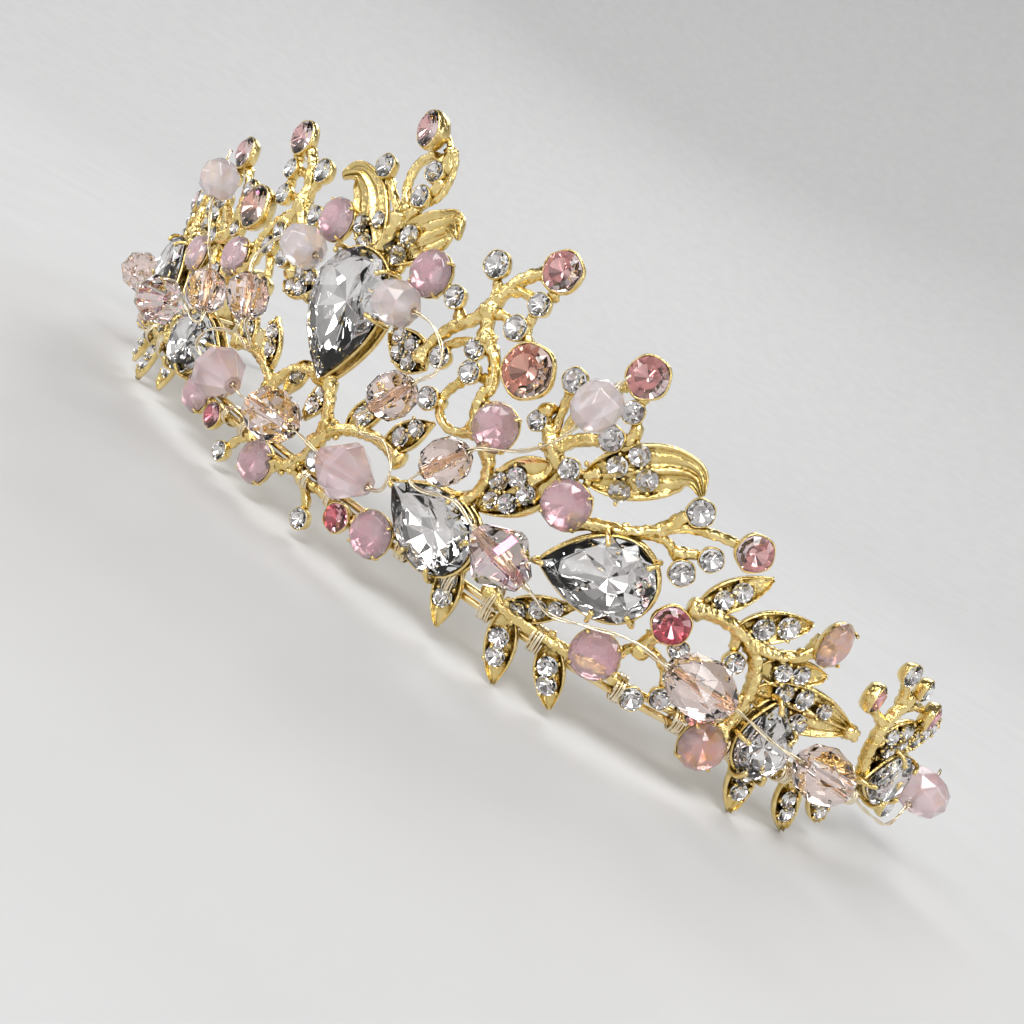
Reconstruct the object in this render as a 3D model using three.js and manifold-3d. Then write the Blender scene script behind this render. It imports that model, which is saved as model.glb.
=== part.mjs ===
// Bridal tiara: a double wire rail bent round the head carries eleven cast sprays of branches, leaves and
// cups, with pear crystals in claws, opals in cups, and faceted beads threaded on thin wires.
//
// The tiara is laid out flat and then bent. A place on it is [s, h, out], in millimetres:
//   s    runs along the rail from the front centre, positive to the wearer's left
//   h    is height above the lower rail wire
//   out  is distance in front of the rail's centre line
// Only the half with positive s is listed. The other is its mirror image, the centre spray apart.
import * as THREE from 'three';
import { mergeVertices } from 'three/addons/utils/BufferGeometryUtils.js';
import Module from 'manifold-3d';

const wasm = await Module();
wasm.setup();

// ---- Driving dimensions, in millimetres ----
const FRONT_RADIUS = 137.7;      // plan radius of the flatter front of the rail
const FRONT_RUN = 39.6;          // length of that front arc, each side of the centre
const SIDE_RADIUS = 57.5;        // plan radius where the rail turns back past the temples
const RAIL_RUN = 109;            // rail wire, from the front centre to each end
const LEAF_DROP = 7;             // how far the lowest leaf tips hang below the lower rail wire

const RAIL_WIRE_RADIUS = 0.5;
const RAIL_WIRE_PITCH = 1.3;     // from the lower wire up to the upper one
const TAB_LENGTH = 5;
const TAB_HEIGHT = 4;
const TAB_THICKNESS = 1.2;
const TAB_LAP = 0.5;             // length of rail wire buried in a tab
const TAB_HOLE_RADIUS = 0.9;
const TAB_HOLE_OFFSET = 1.1;     // from the middle of a tab towards its free end
const UPPER_WIRE_STOP = 1;       // the upper wire stops this short of the lower one
const CLAW_GAP = 0.4;            // between a claw and the crystal's girdle

const BACK = 0.9;                // back plane of the castings, just in front of the rail
const MAIN_RADIUS = 0.65;
const TWIG_RADIUS = 0.45;
const LEAF_THICKNESS = 0.9;
const CUP_DEPTH = 1.6;
const OPAL_RADIUS = 2.8;
const OPAL_HEIGHT = 2.2;
const SEAT_RADIUS = 3.45;
const SEAT_WALL = 0.35;
const SEAT_FLOOR = 0.6;
const SEAT_DEPTH = 1.5;
const PLATE_THICKNESS = 0.5;
const CLAW_RADIUS = 0.35;
const STONE_GAP = 0.35;          // under and round a set stone
const BEAD_HOLE_RADIUS = 0.65;
const BEAD_WIRE_RADIUS = 0.2;
const WIRE_SPARE = 0.8;          // straight wire beyond each end of a bead's hole

// Sides of each round section, and the length of one straight step along a bent one.
const RAIL_SIDES = 5;
const RAIL_STEP = 5.4;
const MAIN_SIDES = 4;
const TWIG_SIDES = 3;
const BRANCH_STEP = 5;
const CLAW_STEP = 2.2;
const WIRE_STEP = 2.8;
const CUP_SIDES = 5;
const SEAT_SIDES = 8;
const BEAD_SIDES = 7;

// Height of a pear crystal's girdle in front of the rail, as its back clears the setting's plate.
const girdleOut = ({ depth }) => BACK + PLATE_THICKNESS + STONE_GAP + depth / 2;

const FRONT_ANGLE = FRONT_RUN / FRONT_RADIUS;
const SIDES = { right: 1, left: -1 };      // as seen from in front

// Cut sizes of the pear crystals, length by width.
const PEAR_LARGE = { length: 18, width: 13, depth: 3.4 };
const PEAR_MEDIUM = { length: 14, width: 10, depth: 2.8 };
const PEAR_SMALL = { length: 10, width: 7.6, depth: 2.4 };

// Claws round a pear crystal's round end, in degrees from its point. A fifth one holds the point.
const CLAW_ANGLES = [70, 125, 215, 290];

// Pear crystals: place, the way the point lies (degrees anticlockwise from +s), and size.
const CENTRE_PEAR = { at: [0.4, 21.8], spin: -79, size: PEAR_LARGE };
const SIDE_PEARS = {
  inner: { at: [26.1, 5.7], spin: 165, size: PEAR_MEDIUM },
  middle: { at: [46.5, 11.5], spin: 197, size: PEAR_MEDIUM },
  outer: { at: [73.4, 3.8], spin: 106, size: PEAR_SMALL, claws: [64, 144, 194, 306] },
  end: { at: [96.3, 4.6], spin: 190, size: PEAR_SMALL },
};

// Opals in their cups. turn swings the cup about the vertical, away from the front.
const CENTRE_OPAL = { at: [-1.8, -1.7], turn: 0 };
const SIDE_OPALS = {
  upper: { at: [9.4, 31.8], turn: 0 },
  shoulder: { at: [27.4, 19.9], turn: 0 },
  middle: { at: [39.5, 16.6], turn: 0 },
  rail: { at: [19.9, 0.2], turn: 0 },
  flank: { at: [50.8, 3.3], turn: 0 },
  outer: { at: [67.0, -0.2], turn: 0 },
  tip: { at: [74.2, 17.9], turn: 25 },
};

// Threaded beads: the two ends of the hole, the bead's radius, its shape and its material.
const CENTRE_BEAD = {
  from: [-4.2, 5.5, 5.3], to: [3.8, 5.9, 5.3], radius: 3.8, cut: 'oval', look: 'clearPeach',
};
const SIDE_BEADS = {
  crown: { from: [6.3, 26.4, 5.4], to: [12.1, 26.8, 5.4], radius: 3, cut: 'round', look: 'palePink' },
  rose: { from: [9.8, 5.4, 4.9], to: [17.8, 5.6, 4.9], radius: 3.9, cut: 'bicone', look: 'rosePink' },
  inner: { from: [13.3, 14.2, 5.4], to: [16.7, 19.3, 5.4], radius: 3, cut: 'round', look: 'clearPeach' },
  lower: { from: [23.5, 11.2, 5.2], to: [27.1, 16.1, 5.2], radius: 3, cut: 'round', look: 'clearPeach' },
  flank: { from: [32.9, 8.9, 5.7], to: [40.5, 6.7, 5.7], radius: 3.9, cut: 'bicone', look: 'clearPink' },
  high: { from: [36.7, 25.4, 5.2], to: [38.3, 31.1, 5.2], radius: 3, cut: 'round', look: 'palePink' },
  outer: { from: [57.8, 7.2, 5.7], to: [65.6, 6.6, 5.7], radius: 3.8, cut: 'oval', look: 'clearPeach' },
  side: { from: [76.8, 4.3, 5.8], to: [84.2, 3.2, 5.8], radius: 3.7, cut: 'oval', look: 'clearPeach' },
  end: { from: [103.0, 2.4, 4.6], to: [106.6, 6.6, 4.6], radius: 3.6, cut: 'bicone', look: 'rosePink' },
};

// ---- Looks ----
const metal = (color, roughness) => new THREE.MeshStandardMaterial({ color, roughness, metalness: 1 });
const stone = (color, roughness, opacity = 1) => new THREE.MeshStandardMaterial(
  { color, roughness, metalness: 0, opacity, transparent: opacity < 1 });
const LOOKS = {
  gold: metal(0xe3c77d, 0.18),
  railGold: metal(0xd9bd78, 0.15),
  wireGold: metal(0xe6cf93, 0.25),
  crystal: stone(0xdfe4ea, 0.03, 0.5),
  opal: stone(0xe9b7bd, 0.12),
  palePink: stone(0xf4dcdd, 0.15),
  rosePink: stone(0xf0b9c0, 0.15),
  clearPeach: stone(0xf0c9ba, 0.04, 0.6),
  clearPink: stone(0xeeb2b8, 0.04, 0.6),
};

// ---- Bending the flat layout round the head ----
function archFrame(s) {
  const side = s < 0 ? -1 : 1;
  const run = Math.abs(s);
  const onFront = run <= FRONT_RUN;
  const angle = onFront ? run / FRONT_RADIUS : FRONT_ANGLE + (run - FRONT_RUN) / SIDE_RADIUS;
  const radius = onFront ? FRONT_RADIUS : SIDE_RADIUS;
  const centreShift = FRONT_RADIUS - radius;
  const x = centreShift * Math.sin(FRONT_ANGLE) + radius * Math.sin(angle);
  const y = -centreShift * Math.cos(FRONT_ANGLE) - radius * Math.cos(angle);
  return {
    origin: new THREE.Vector3(side * x, y, LEAF_DROP),
    along: new THREE.Vector3(Math.cos(angle), side * Math.sin(angle), 0),
    outward: new THREE.Vector3(side * Math.sin(angle), -Math.cos(angle), 0),
  };
}

function toArch([s, h, out]) {
  const { origin, outward } = archFrame(s);
  return origin.addScaledVector(outward, out).add(new THREE.Vector3(0, 0, h));
}

const mirrored = ([s, h, out], side) => [side * s, h, out];

// Matrix that stands a piece modelled with x along the rail, y up and z outward at [s, h, out].
function placement([s, h, out], { spin = 0, turn = 0, nod = 0 } = {}) {
  const { along, outward } = archFrame(s);
  const up = new THREE.Vector3(0, 0, 1);
  const matrix = new THREE.Matrix4().makeBasis(along, up, outward);
  const [x, y, z] = [nod, turn, spin].map(THREE.MathUtils.degToRad);
  matrix.multiply(new THREE.Matrix4().makeRotationFromEuler(new THREE.Euler(x, y, z, 'YXZ')));
  matrix.setPosition(toArch([s, h, out]));
  return matrix;
}

// ---- Solids ----
function toSolid(geometry) {
  geometry.deleteAttribute('normal');
  geometry.deleteAttribute('uv');
  const merged = mergeVertices(geometry, 1e-5);
  return new wasm.Manifold(new wasm.Mesh({
    numProp: 3,
    vertProperties: new Float32Array(merged.attributes.position.array),
    triVerts: new Uint32Array(merged.index.array),
  }));
}

function toGeometry(solid) {
  const mesh = solid.getMesh();
  const geometry = new THREE.BufferGeometry();
  geometry.setAttribute('position', new THREE.BufferAttribute(new Float32Array(mesh.vertProperties), 3));
  geometry.setIndex(new THREE.BufferAttribute(new Uint32Array(mesh.triVerts), 1));
  geometry.computeVertexNormals();
  return geometry;
}

function polygon(radius, sides) {
  const corners = [];
  for (let i = 0; i < sides; i += 1) {
    const angle = (2 * Math.PI * i) / sides;
    corners.push(new THREE.Vector2(radius * Math.cos(angle), radius * Math.sin(angle)));
  }
  return new THREE.Shape(corners);
}

function tube(points, radius, sides, step) {
  const path = new THREE.CatmullRomCurve3(points, false, 'centripetal');
  path.arcLengthDivisions = 400;
  const steps = Math.max(2, Math.round(path.getLength() / step));
  return new THREE.ExtrudeGeometry(
    polygon(radius, sides), { steps, bevelEnabled: false, extrudePath: path });
}

// A lathe whose axis points outward, with a flat side towards the wearer.
function turned(profile, sides) {
  const points = profile.map(([radius, out]) => new THREE.Vector2(radius, out));
  return new THREE.LatheGeometry(points, sides).rotateX(Math.PI / 2);
}

function leafShape(length, width) {
  const shape = new THREE.Shape();
  shape.moveTo(0, 0);
  shape.bezierCurveTo(length * 0.2, width * 0.62, length * 0.65, width * 0.6, length, 0);
  shape.bezierCurveTo(length * 0.65, -width * 0.6, length * 0.2, -width * 0.62, 0, 0);
  return shape;
}

// A pear outline with its point on +x, shrunk evenly by inset.
function pearShape({ length, width }, inset) {
  const radius = width / 2 - inset;
  const centre = width / 2 - length / 2;
  const point = length / 2 - inset * 1.4;
  const shoulder = centre + (point - centre) * 0.5;
  const shape = new THREE.Shape();
  shape.moveTo(point, 0);
  shape.quadraticCurveTo(shoulder, radius, centre, radius);
  shape.absarc(centre, 0, radius, Math.PI / 2, (3 * Math.PI) / 2, false);
  shape.quadraticCurveTo(shoulder, -radius, point, 0);
  return shape;
}

// ---- A casting: branches, leaves, cups and settings joined into one piece of metal ----
class Casting {
  constructor(side) {
    this.side = side;
    this.pieces = [];
    this.recesses = [];
    this.claws = [];
  }

  add(geometry) {
    this.pieces.push(toSolid(geometry));
    return this;
  }

  branch(points, radius = TWIG_RADIUS) {
    const route = points.map(([s, h, out = BACK + radius]) => toArch(mirrored([s, h, out], this.side)));
    return this.add(tube(route, radius, radius < MAIN_RADIUS ? TWIG_SIDES : MAIN_SIDES, BRANCH_STEP));
  }

  leaf([s0, h0], [s1, h1], width, out = BACK) {
    const length = Math.hypot(s1 - s0, h1 - h0);
    const geometry = new THREE.ExtrudeGeometry(
      leafShape(length, width), { depth: LEAF_THICKNESS, bevelEnabled: false, curveSegments: 3 });
    const spin = THREE.MathUtils.radToDeg(Math.atan2(h1 - h0, this.side * (s1 - s0)));
    geometry.translate(-length / 2, 0, 0);
    const middle = [this.side * (s0 + s1) / 2, (h0 + h1) / 2, out];
    return this.add(geometry.applyMatrix4(placement(middle, { spin })));
  }

  cup([s, h, out = BACK], radius, { turn = 0, nod = 0, depth = CUP_DEPTH } = {}) {
    const profile = [[0, 0], [radius * 0.85, 0], [radius, depth], [0, depth]];
    const matrix = placement([this.side * s, h, out], { turn: this.side * turn, nod });
    return this.add(turned(profile, CUP_SIDES).applyMatrix4(matrix));
  }

  // A round cup with an open recess for an opal.
  seat({ at: [s, h], turn }) {
    const inner = SEAT_RADIUS - SEAT_WALL;
    const profile = [[0, 0], [SEAT_RADIUS * 0.9, 0], [SEAT_RADIUS, SEAT_DEPTH], [inner, SEAT_DEPTH],
      [inner, SEAT_FLOOR], [0, SEAT_FLOOR]];
    const matrix = placement([this.side * s, h, BACK], { turn: this.side * turn });
    const recess = [[0, SEAT_FLOOR], [inner, SEAT_FLOOR], [inner, SEAT_DEPTH * 3], [0, SEAT_DEPTH * 3]];
    this.recesses.push(toSolid(turned(recess, SEAT_SIDES).applyMatrix4(matrix)));
    return this.add(turned(profile, SEAT_SIDES).applyMatrix4(matrix));
  }

  ring([s, h, out = BACK + TWIG_RADIUS], radius) {
    const geometry = new THREE.TorusGeometry(radius, TWIG_RADIUS, 4, 9);
    return this.add(geometry.applyMatrix4(placement([this.side * s, h, out])));
  }

  // The back plate of a pear crystal and the five claws that hold it.
  setting({ at: [s, h], spin, size, claws = CLAW_ANGLES }) {
    const facing = this.side > 0 ? spin : 180 - spin;
    const matrix = placement([this.side * s, h, 0], { spin: facing });
    const plate = new THREE.ExtrudeGeometry(
      pearShape(size, 0.2), { depth: PLATE_THICKNESS, bevelEnabled: false, curveSegments: 3 });
    this.add(plate.translate(0, 0, BACK).applyMatrix4(matrix));
    const recess = new THREE.ExtrudeGeometry(
      pearShape(size, -STONE_GAP), { depth: 2 * size.depth, bevelEnabled: false, curveSegments: 3 });
    this.recesses.push(toSolid(recess.translate(0, 0, BACK + PLATE_THICKNESS).applyMatrix4(matrix)));
    const round = size.width / 2;
    const centre = round - size.length / 2;
    const feet = [[size.length / 2, 0, 0]];
    for (const angle of claws) {
      feet.push([centre, round, this.side * THREE.MathUtils.degToRad(angle)]);
    }
    const girdle = girdleOut(size);
    for (const [x, reach, angle] of feet) {
      const claw = (away, out) => new THREE.Vector3(
        x + Math.cos(angle) * (reach + away), Math.sin(angle) * (reach + away), out);
      const points = [claw(-0.5, BACK + 0.2), claw(CLAW_RADIUS + CLAW_GAP, BACK + 0.5),
        claw(CLAW_RADIUS + CLAW_GAP, girdle + 0.5), claw(-0.2, girdle + size.depth / 2 + 0.3)];
      this.claws.push(toSolid(tube(points, CLAW_RADIUS, TWIG_SIDES, CLAW_STEP).applyMatrix4(matrix)));
    }
    return this;
  }

  solid() {
    const metalwork = this.pieces.reduce((whole, piece) => whole.add(piece));
    const hollowed = this.recesses.reduce((whole, recess) => whole.subtract(recess), metalwork);
    return this.claws.reduce((whole, claw) => whole.add(claw), hollowed);
  }
}

// ---- The castings ----
function centreSpray() {
  const spray = new Casting(1);
  spray.branch([[-1.4, 29.6], [0, 32], [0.5, 36]], 0.8);
  spray.setting(CENTRE_PEAR);
  // The crest: a stem that ends in a chaton turned to the wearer's right, and an open loop beside it.
  spray.branch([[0.5, 35], [2.6, 39], [3.6, 43, 1.6], [2.6, 46.5, 2.2], [0.6, 48.3, 2.8]], MAIN_RADIUS);
  spray.branch([[0.4, 37], [-1.5, 40], [-1.6, 43], [0.2, 44.8, 1.5], [2.4, 44.6, 1.7]]);
  spray.cup([0.6, 47.4, 2.2], 2.4, { turn: -40, nod: 10 });
  spray.cup([2.3, 43], 1.5);
  spray.cup([2.1, 39.5], 1.5);
  spray.branch([[0.3, 36], [-3, 38.2], [-5.9, 40.6]]);
  spray.cup([-5.9, 40.9], 1.7);
  // Two leaves with curled tips.
  spray.leaf([-0.2, 30.8], [-8.4, 38.2], 4.8);
  spray.branch([[-7.2, 37.1, 1.4], [-9.6, 38, 2], [-11.6, 36.9, 2.9]], 0.5);
  spray.leaf([0.4, 30.4], [7.4, 38], 5.5);
  spray.branch([[6.4, 37, 1.4], [8.8, 38.7, 2], [11.2, 37.2, 2.9]], 0.5);
  spray.ring([2.9, 30.6], 1.3);
  // The fork below the crystal, round the centre bead, down to the centre opal.
  spray.branch([[2, 13.4], [3.8, 11.4], [5.3, 8], [5.2, 4], [3.2, 0.8], [0.4, -0.6]], MAIN_RADIUS);
  spray.branch([[1.6, 13.6], [-3.8, 11.8], [-6.7, 8], [-6.8, 4], [-5.6, 0.8], [-3.6, -0.6]], MAIN_RADIUS);
  spray.leaf([3.4, 13.4], [2.6, 7.8], 3.2);
  spray.leaf([-2.6, 13.6], [-3.4, 8.4], 3.2);
  spray.seat(CENTRE_OPAL);
  for (const side of Object.values(SIDES)) {
    const branch = (points, radius) => spray.branch(points.map(([s, h]) => [side * s, h]), radius);
    const leaf = ([s0, h0], [s1, h1], width) => spray.leaf([side * s0, h0], [side * s1, h1], width);
    branch([[5, 5], [6.8, 7.9], [9.8, 9.7], [14, 10.5], [18, 9.9]], MAIN_RADIUS);
    leaf([8.7, 9.6], [12.3, 15.8], 3.8);
    leaf([15, 10.4], [19.4, 15.8], 3.8);
    spray.cup([side * 7.2, 3.6], 1.6);
    branch([[5.1, 3.4], [7, 3.4]]);
    branch([[2.6, 0.6], [5.6, 0.2], [8, -1.4], [9.2, -3.6]]);
    spray.cup([side * 9.3, -4], 1.5);
    branch([[5.6, 0.2], [10, 0.4], [14.4, -0.4], [17, 0]]);
    spray.cup([side * 14.3, -0.8], 2);
    spray.seat({ at: [side * SIDE_OPALS.rail.at[0], SIDE_OPALS.rail.at[1]], turn: 0 });
  }
  return spray.solid();
}

function innerSpray(side) {
  const spray = new Casting(side);
  spray.setting(SIDE_PEARS.inner);
  spray.branch([[27.8, 9.7], [29.4, 12.6], [28.8, 15.4], [27.2, 17.4]], MAIN_RADIUS);
  spray.seat(SIDE_OPALS.shoulder);
  spray.branch([[25, 18.4], [23.6, 21.4], [24, 24], [22.4, 27], [20.4, 28.2]], MAIN_RADIUS);
  spray.branch([[25.2, 18], [22, 16.6], [19.8, 17.4], [19, 20], [20.8, 23.4]]);
  spray.branch([[24, 24.2], [20.9, 24]]);
  spray.branch([[19.4, 18.8], [17.6, 18.5]]);
  spray.cup([17.6, 18.5], 1.5);
  spray.cup([20.9, 23.9], 1.5);
  spray.cup([20, 26.6], 1.4);
  spray.cup([16.3, 23.6], 1.5);
  spray.branch([[20.4, 27.4], [17.6, 26.6], [15.4, 24.4], [13.4, 22]]);
  spray.leaf([14.6, 21.4], [7.8, 23], 4.6);
  spray.branch([[13.4, 22], [14, 24.6], [15.4, 27.4], [17.4, 29.4], [18.8, 31.4]], MAIN_RADIUS);
  spray.branch([[20.4, 28], [18.8, 31.4]], MAIN_RADIUS);
  spray.branch([[16, 28.4], [14.2, 30.6], [12, 31.2]]);
  spray.cup([14.1, 30.8], 1.5);
  spray.seat(SIDE_OPALS.upper);
  spray.branch([[18.8, 31.4], [18.4, 33.8], [17.2, 36.4]]);
  spray.cup([17.1, 36.6], 1.8);
  spray.branch([[18.8, 31.4], [19.8, 34.8], [21.6, 37.4], [24.4, 39.2]], MAIN_RADIUS);
  spray.cup([25.2, 39.5], 2.6);
  spray.branch([[19.8, 34.8], [22, 35.3], [24.6, 34.9]]);
  spray.branch([[24.6, 34.9], [25.6, 37.4]]);
  spray.cup([24.6, 34.9], 1.5);
  spray.branch([[18.8, 31.4], [21, 31.7], [23.4, 31.2]]);
  spray.branch([[24.4, 34.6], [24.2, 33], [25, 31], [26.4, 29.6]]);
  spray.cup([23.4, 31.2], 1.6);
  spray.cup([27.7, 27.6], 3.4, { depth: 2.4 });
  spray.leaf([31, 3.6], [33, -4.4], 3.8);
  return spray.solid();
}

function middleSpray(side) {
  const spray = new Casting(side);
  const hub = [34.6, 21.4];
  spray.branch([hub, [33, 23], [31.6, 25]], MAIN_RADIUS);
  spray.cup([31.5, 23.2], 1.3);
  spray.branch([[33.8, 22.4], [33.2, 26], [33, 29.2]]);
  spray.cup([33, 29.4], 1.6);
  spray.branch([hub, [36.6, 23.6], [40, 25.6], [42, 27], [41.2, 30], [40.4, 32.4]], MAIN_RADIUS);
  spray.branch([[35.4, 22], [34.8, 25], [36.6, 30], [39, 32.4]]);
  spray.cup([40.1, 25.8], 1.6);
  spray.cup([40.7, 29.6], 1.4);
  spray.cup([40.2, 33.8], 2.6);
  spray.branch([hub, [36, 20.2], [38, 19.4]], MAIN_RADIUS);
  spray.cup([37.7, 20.3], 1.4);
  spray.seat(SIDE_OPALS.middle);
  spray.leaf([36.2, 19.4], [30.4, 11], 6.4);
  spray.branch([hub, [35.6, 18.8], [34.4, 16.6]]);
  // The large leaf with a curled tip.
  spray.branch([[37.8, 20.4], [41, 21.2], [43, 22.4]], MAIN_RADIUS);
  spray.leaf([39.8, 20.6], [48.6, 27], 7);
  spray.branch([[47.2, 26, 1.3], [49.6, 27, 1.9], [51.6, 25.8, 2.8]], 0.5);
  // The branch over the middle crystal.
  spray.setting(SIDE_PEARS.middle);
  spray.branch(
    [[41, 15.4], [44.4, 16.6], [47.4, 17.8], [49.8, 19.6], [51.6, 22.6], [52.6, 23.6]], MAIN_RADIUS);
  spray.branch([[46, 17.2], [46.2, 15.9]], MAIN_RADIUS);
  spray.cup([52.6, 23.7], 1.7);
  spray.branch([[49.8, 19.6], [52.4, 21.4], [56, 22.4], [59.6, 22.8]]);
  spray.cup([60, 22.8], 2.3);
  spray.branch([[48.6, 18.6], [51.4, 18.8], [54.2, 16.9]]);
  spray.cup([54.3, 16.7], 1.6);
  spray.branch([[52.6, 18.2], [54.6, 19.2], [56.2, 19.7]]);
  spray.cup([56.3, 19.7], 1.5);
  return spray.solid();
}

function railSpray(side) {
  const spray = new Casting(side);
  spray.branch([[36.4, 3], [39.6, 2], [43, 1.7], [47.4, 1.7], [52, 2.2], [56.8, 1.2]], MAIN_RADIUS);
  spray.leaf([39, 1.6], [46, 6.4], 3.2);
  spray.leaf([39.6, 2.2], [42.8, -LEAF_DROP], 4);
  spray.leaf([45.6, 1.8], [49.8, -5.6], 3.8);
  spray.seat(SIDE_OPALS.flank);
  spray.cup([56.9, 0.9], 1.5);
  spray.branch([[53.4, 2], [53.4, 5], [55, 6.8], [58, 6.2], [59.6, 4], [59.7, 2.6]]);
  spray.cup([59.7, 2.6], 1.4);
  spray.branch([[55, 6], [55.6, 9.6]], MAIN_RADIUS);
  spray.cup([56.3, 10.9], 2.4, { depth: 2 });
  spray.branch([[56.4, 9.6], [58.6, 8.6]]);
  spray.cup([58.6, 8.7], 1.3, { depth: 1.3 });
  return spray.solid();
}

function outerSpray(side) {
  const spray = new Casting(side);
  spray.branch(
    [[57.6, 13.8], [60, 14.3], [63.4, 14.1], [66.6, 12.4], [68.4, 9.4], [68.9, 5.6], [68.4, 2]], 0.75);
  spray.leaf([58.2, 14.2], [63.8, 21], 3.8);
  spray.leaf([63, 13.8], [70.8, 18.6], 4);
  spray.branch([[65.6, 13.2], [70, 13.8], [72.6, 15.6], [73.4, 17.4]], MAIN_RADIUS);
  spray.seat(SIDE_OPALS.tip);
  spray.leaf([68, 11.2], [76.6, 13.8], 4.2);
  spray.leaf([68.6, 8.4], [85.4, 9], 6);
  spray.cup([85, 8.6], 1.2);
  spray.branch([[63.6, 14], [64.6, 10.8]]);
  spray.cup([64.8, 10.5], 1.4);
  spray.seat(SIDE_OPALS.outer);
  spray.cup([64.4, 3], 1.6);
  spray.branch([[64.4, 3], [66, 2]]);
  spray.setting(SIDE_PEARS.outer);
  spray.branch([[68.8, 4.4], [71, 4.2]]);
  spray.leaf([73.4, 1.4], [75.7, -LEAF_DROP], 4.2);
  spray.branch([[75, 0.8], [79, 0.4], [84, 0.6], [88, 0.6]]);
  spray.leaf([80.4, 0.8], [85, -LEAF_DROP], 4.2);
  spray.leaf([85.4, 1], [90.4, -4.4], 3.6);
  return spray.solid();
}

function endSpray(side) {
  const spray = new Casting(side);
  spray.setting(SIDE_PEARS.end);
  spray.branch([[92.6, 3.6], [90.4, 7], [90, 11], [91, 14.6], [92.2, 17.4]], MAIN_RADIUS);
  spray.cup([92.3, 17.6], 1.6, { turn: 20 });
  spray.branch([[91, 14.6], [89.4, 17], [88.2, 18.6]]);
  spray.cup([88, 18.7], 1.6);
  spray.branch([[90, 11.4], [87, 12.4], [84.4, 13.8]]);
  spray.cup([83.9, 14.2], 2, { turn: 30 });
  spray.leaf([90.2, 7.6], [99, 12.4], 6);
  spray.branch([[91, 14], [94.4, 15], [97.4, 14.6]]);
  spray.cup([97.6, 14.5], 2, { turn: 20 });
  spray.leaf([95.6, 8.8], [104.4, 14.2], 4.6);
  spray.branch([[99, 4.6], [102, 1.4], [103.8, 0.2]]);
  spray.cup([103.8, 0], 1.6);
  return spray.solid();
}

// ---- The rail ----
function railWire(h, run) {
  const route = [];
  const spans = 36;
  for (let i = 0; i <= spans; i += 1) {
    route.push(toArch([run * ((2 * i) / spans - 1), h, 0]));
  }
  return tube(route, RAIL_WIRE_RADIUS, RAIL_SIDES, RAIL_STEP);
}

// The lower wire ends in two flat tabs, each with a hole for a hair pin.
function lowerRail() {
  let rail = toSolid(railWire(0, RAIL_RUN));
  for (const side of Object.values(SIDES)) {
    const matrix = placement([side * (RAIL_RUN + TAB_LENGTH / 2 - TAB_LAP), RAIL_WIRE_PITCH / 2, 0]);
    const tab = new THREE.BoxGeometry(TAB_LENGTH, TAB_HEIGHT, TAB_THICKNESS).applyMatrix4(matrix);
    const hole = new THREE.CylinderGeometry(TAB_HOLE_RADIUS, TAB_HOLE_RADIUS, 3 * TAB_THICKNESS, 10);
    hole.rotateX(Math.PI / 2).translate(side * TAB_HOLE_OFFSET, 0, 0);
    rail = rail.add(toSolid(tab)).subtract(toSolid(hole.applyMatrix4(matrix)));
  }
  return toGeometry(rail);
}

// ---- Stones and beads ----
function pearCrystal({ at: [s, h], spin, size }, side) {
  const inset = size.width * 0.16;
  const shape = pearShape(size, inset);
  const girdle = 0.5;
  const bevel = (size.depth - girdle) / 2;
  const geometry = new THREE.ExtrudeGeometry(shape, {
    depth: girdle, bevelEnabled: true, bevelThickness: bevel, bevelSize: inset - 0.1, bevelSegments: 1,
    curveSegments: 3,
  });
  const facing = side > 0 ? spin : 180 - spin;
  geometry.translate(0, 0, -girdle / 2);
  return geometry.applyMatrix4(placement([side * s, h, girdleOut(size)], { spin: facing }));
}

function opal({ at: [s, h], turn }, side) {
  const profile = [[0, 0], [OPAL_RADIUS * 0.8, 0], [OPAL_RADIUS, 0.7], [OPAL_RADIUS, 1],
    [1.8, OPAL_HEIGHT - 0.3], [0, OPAL_HEIGHT]];
  const geometry = turned(profile, SEAT_SIDES).translate(0, 0, SEAT_FLOOR + 0.3);
  return geometry.applyMatrix4(placement([side * s, h, BACK], { turn: side * turn }));
}

// Outline of half a bead: radius and distance from its middle, as shares of the full ones.
const BEAD_CUTS = {
  round: [[0.5, 1], [1, 0.35]],
  oval: [[0.45, 1], [1, 0.3]],
  bicone: [[0.3, 1], [1, 0.08]],
};

// A faceted bead round the line between its hole's two ends, with the hole right through it.
function bead({ from, to, radius, cut }, side) {
  const start = toArch(mirrored(from, side));
  const end = toArch(mirrored(to, side));
  const half = start.distanceTo(end) / 2;
  const upper = BEAD_CUTS[cut].map(([wide, high]) => new THREE.Vector2(wide * radius, high * half));
  const lower = upper.slice().reverse().map((point) => new THREE.Vector2(point.x, -point.y));
  const outline = [new THREE.Vector2(BEAD_HOLE_RADIUS, half), ...upper, ...lower,
    new THREE.Vector2(BEAD_HOLE_RADIUS, -half)];
  outline.push(outline[0].clone());
  outline.reverse();
  const geometry = new THREE.LatheGeometry(outline, BEAD_SIDES);
  const turn = new THREE.Quaternion().setFromUnitVectors(
    new THREE.Vector3(0, 1, 0), end.clone().sub(start).normalize());
  const middle = start.clone().add(end).multiplyScalar(0.5);
  return geometry.applyQuaternion(turn).translate(middle.x, middle.y, middle.z);
}

// The stretch of wire inside a bead is straight, from just outside one end of the hole to the other.
function throughBead({ from, to }, side, backwards = false) {
  const ends = [toArch(mirrored(from, side)), toArch(mirrored(to, side))];
  if (backwards) {
    ends.reverse();
  }
  const [start, end] = ends;
  const spare = WIRE_SPARE / start.distanceTo(end);
  return [-spare, 0.3, 0.7, 1 + spare].map((share) => start.clone().lerp(end, share));
}

const freeWire = (points, side) => points.map((point) => toArch(mirrored(point, side)));

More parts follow.
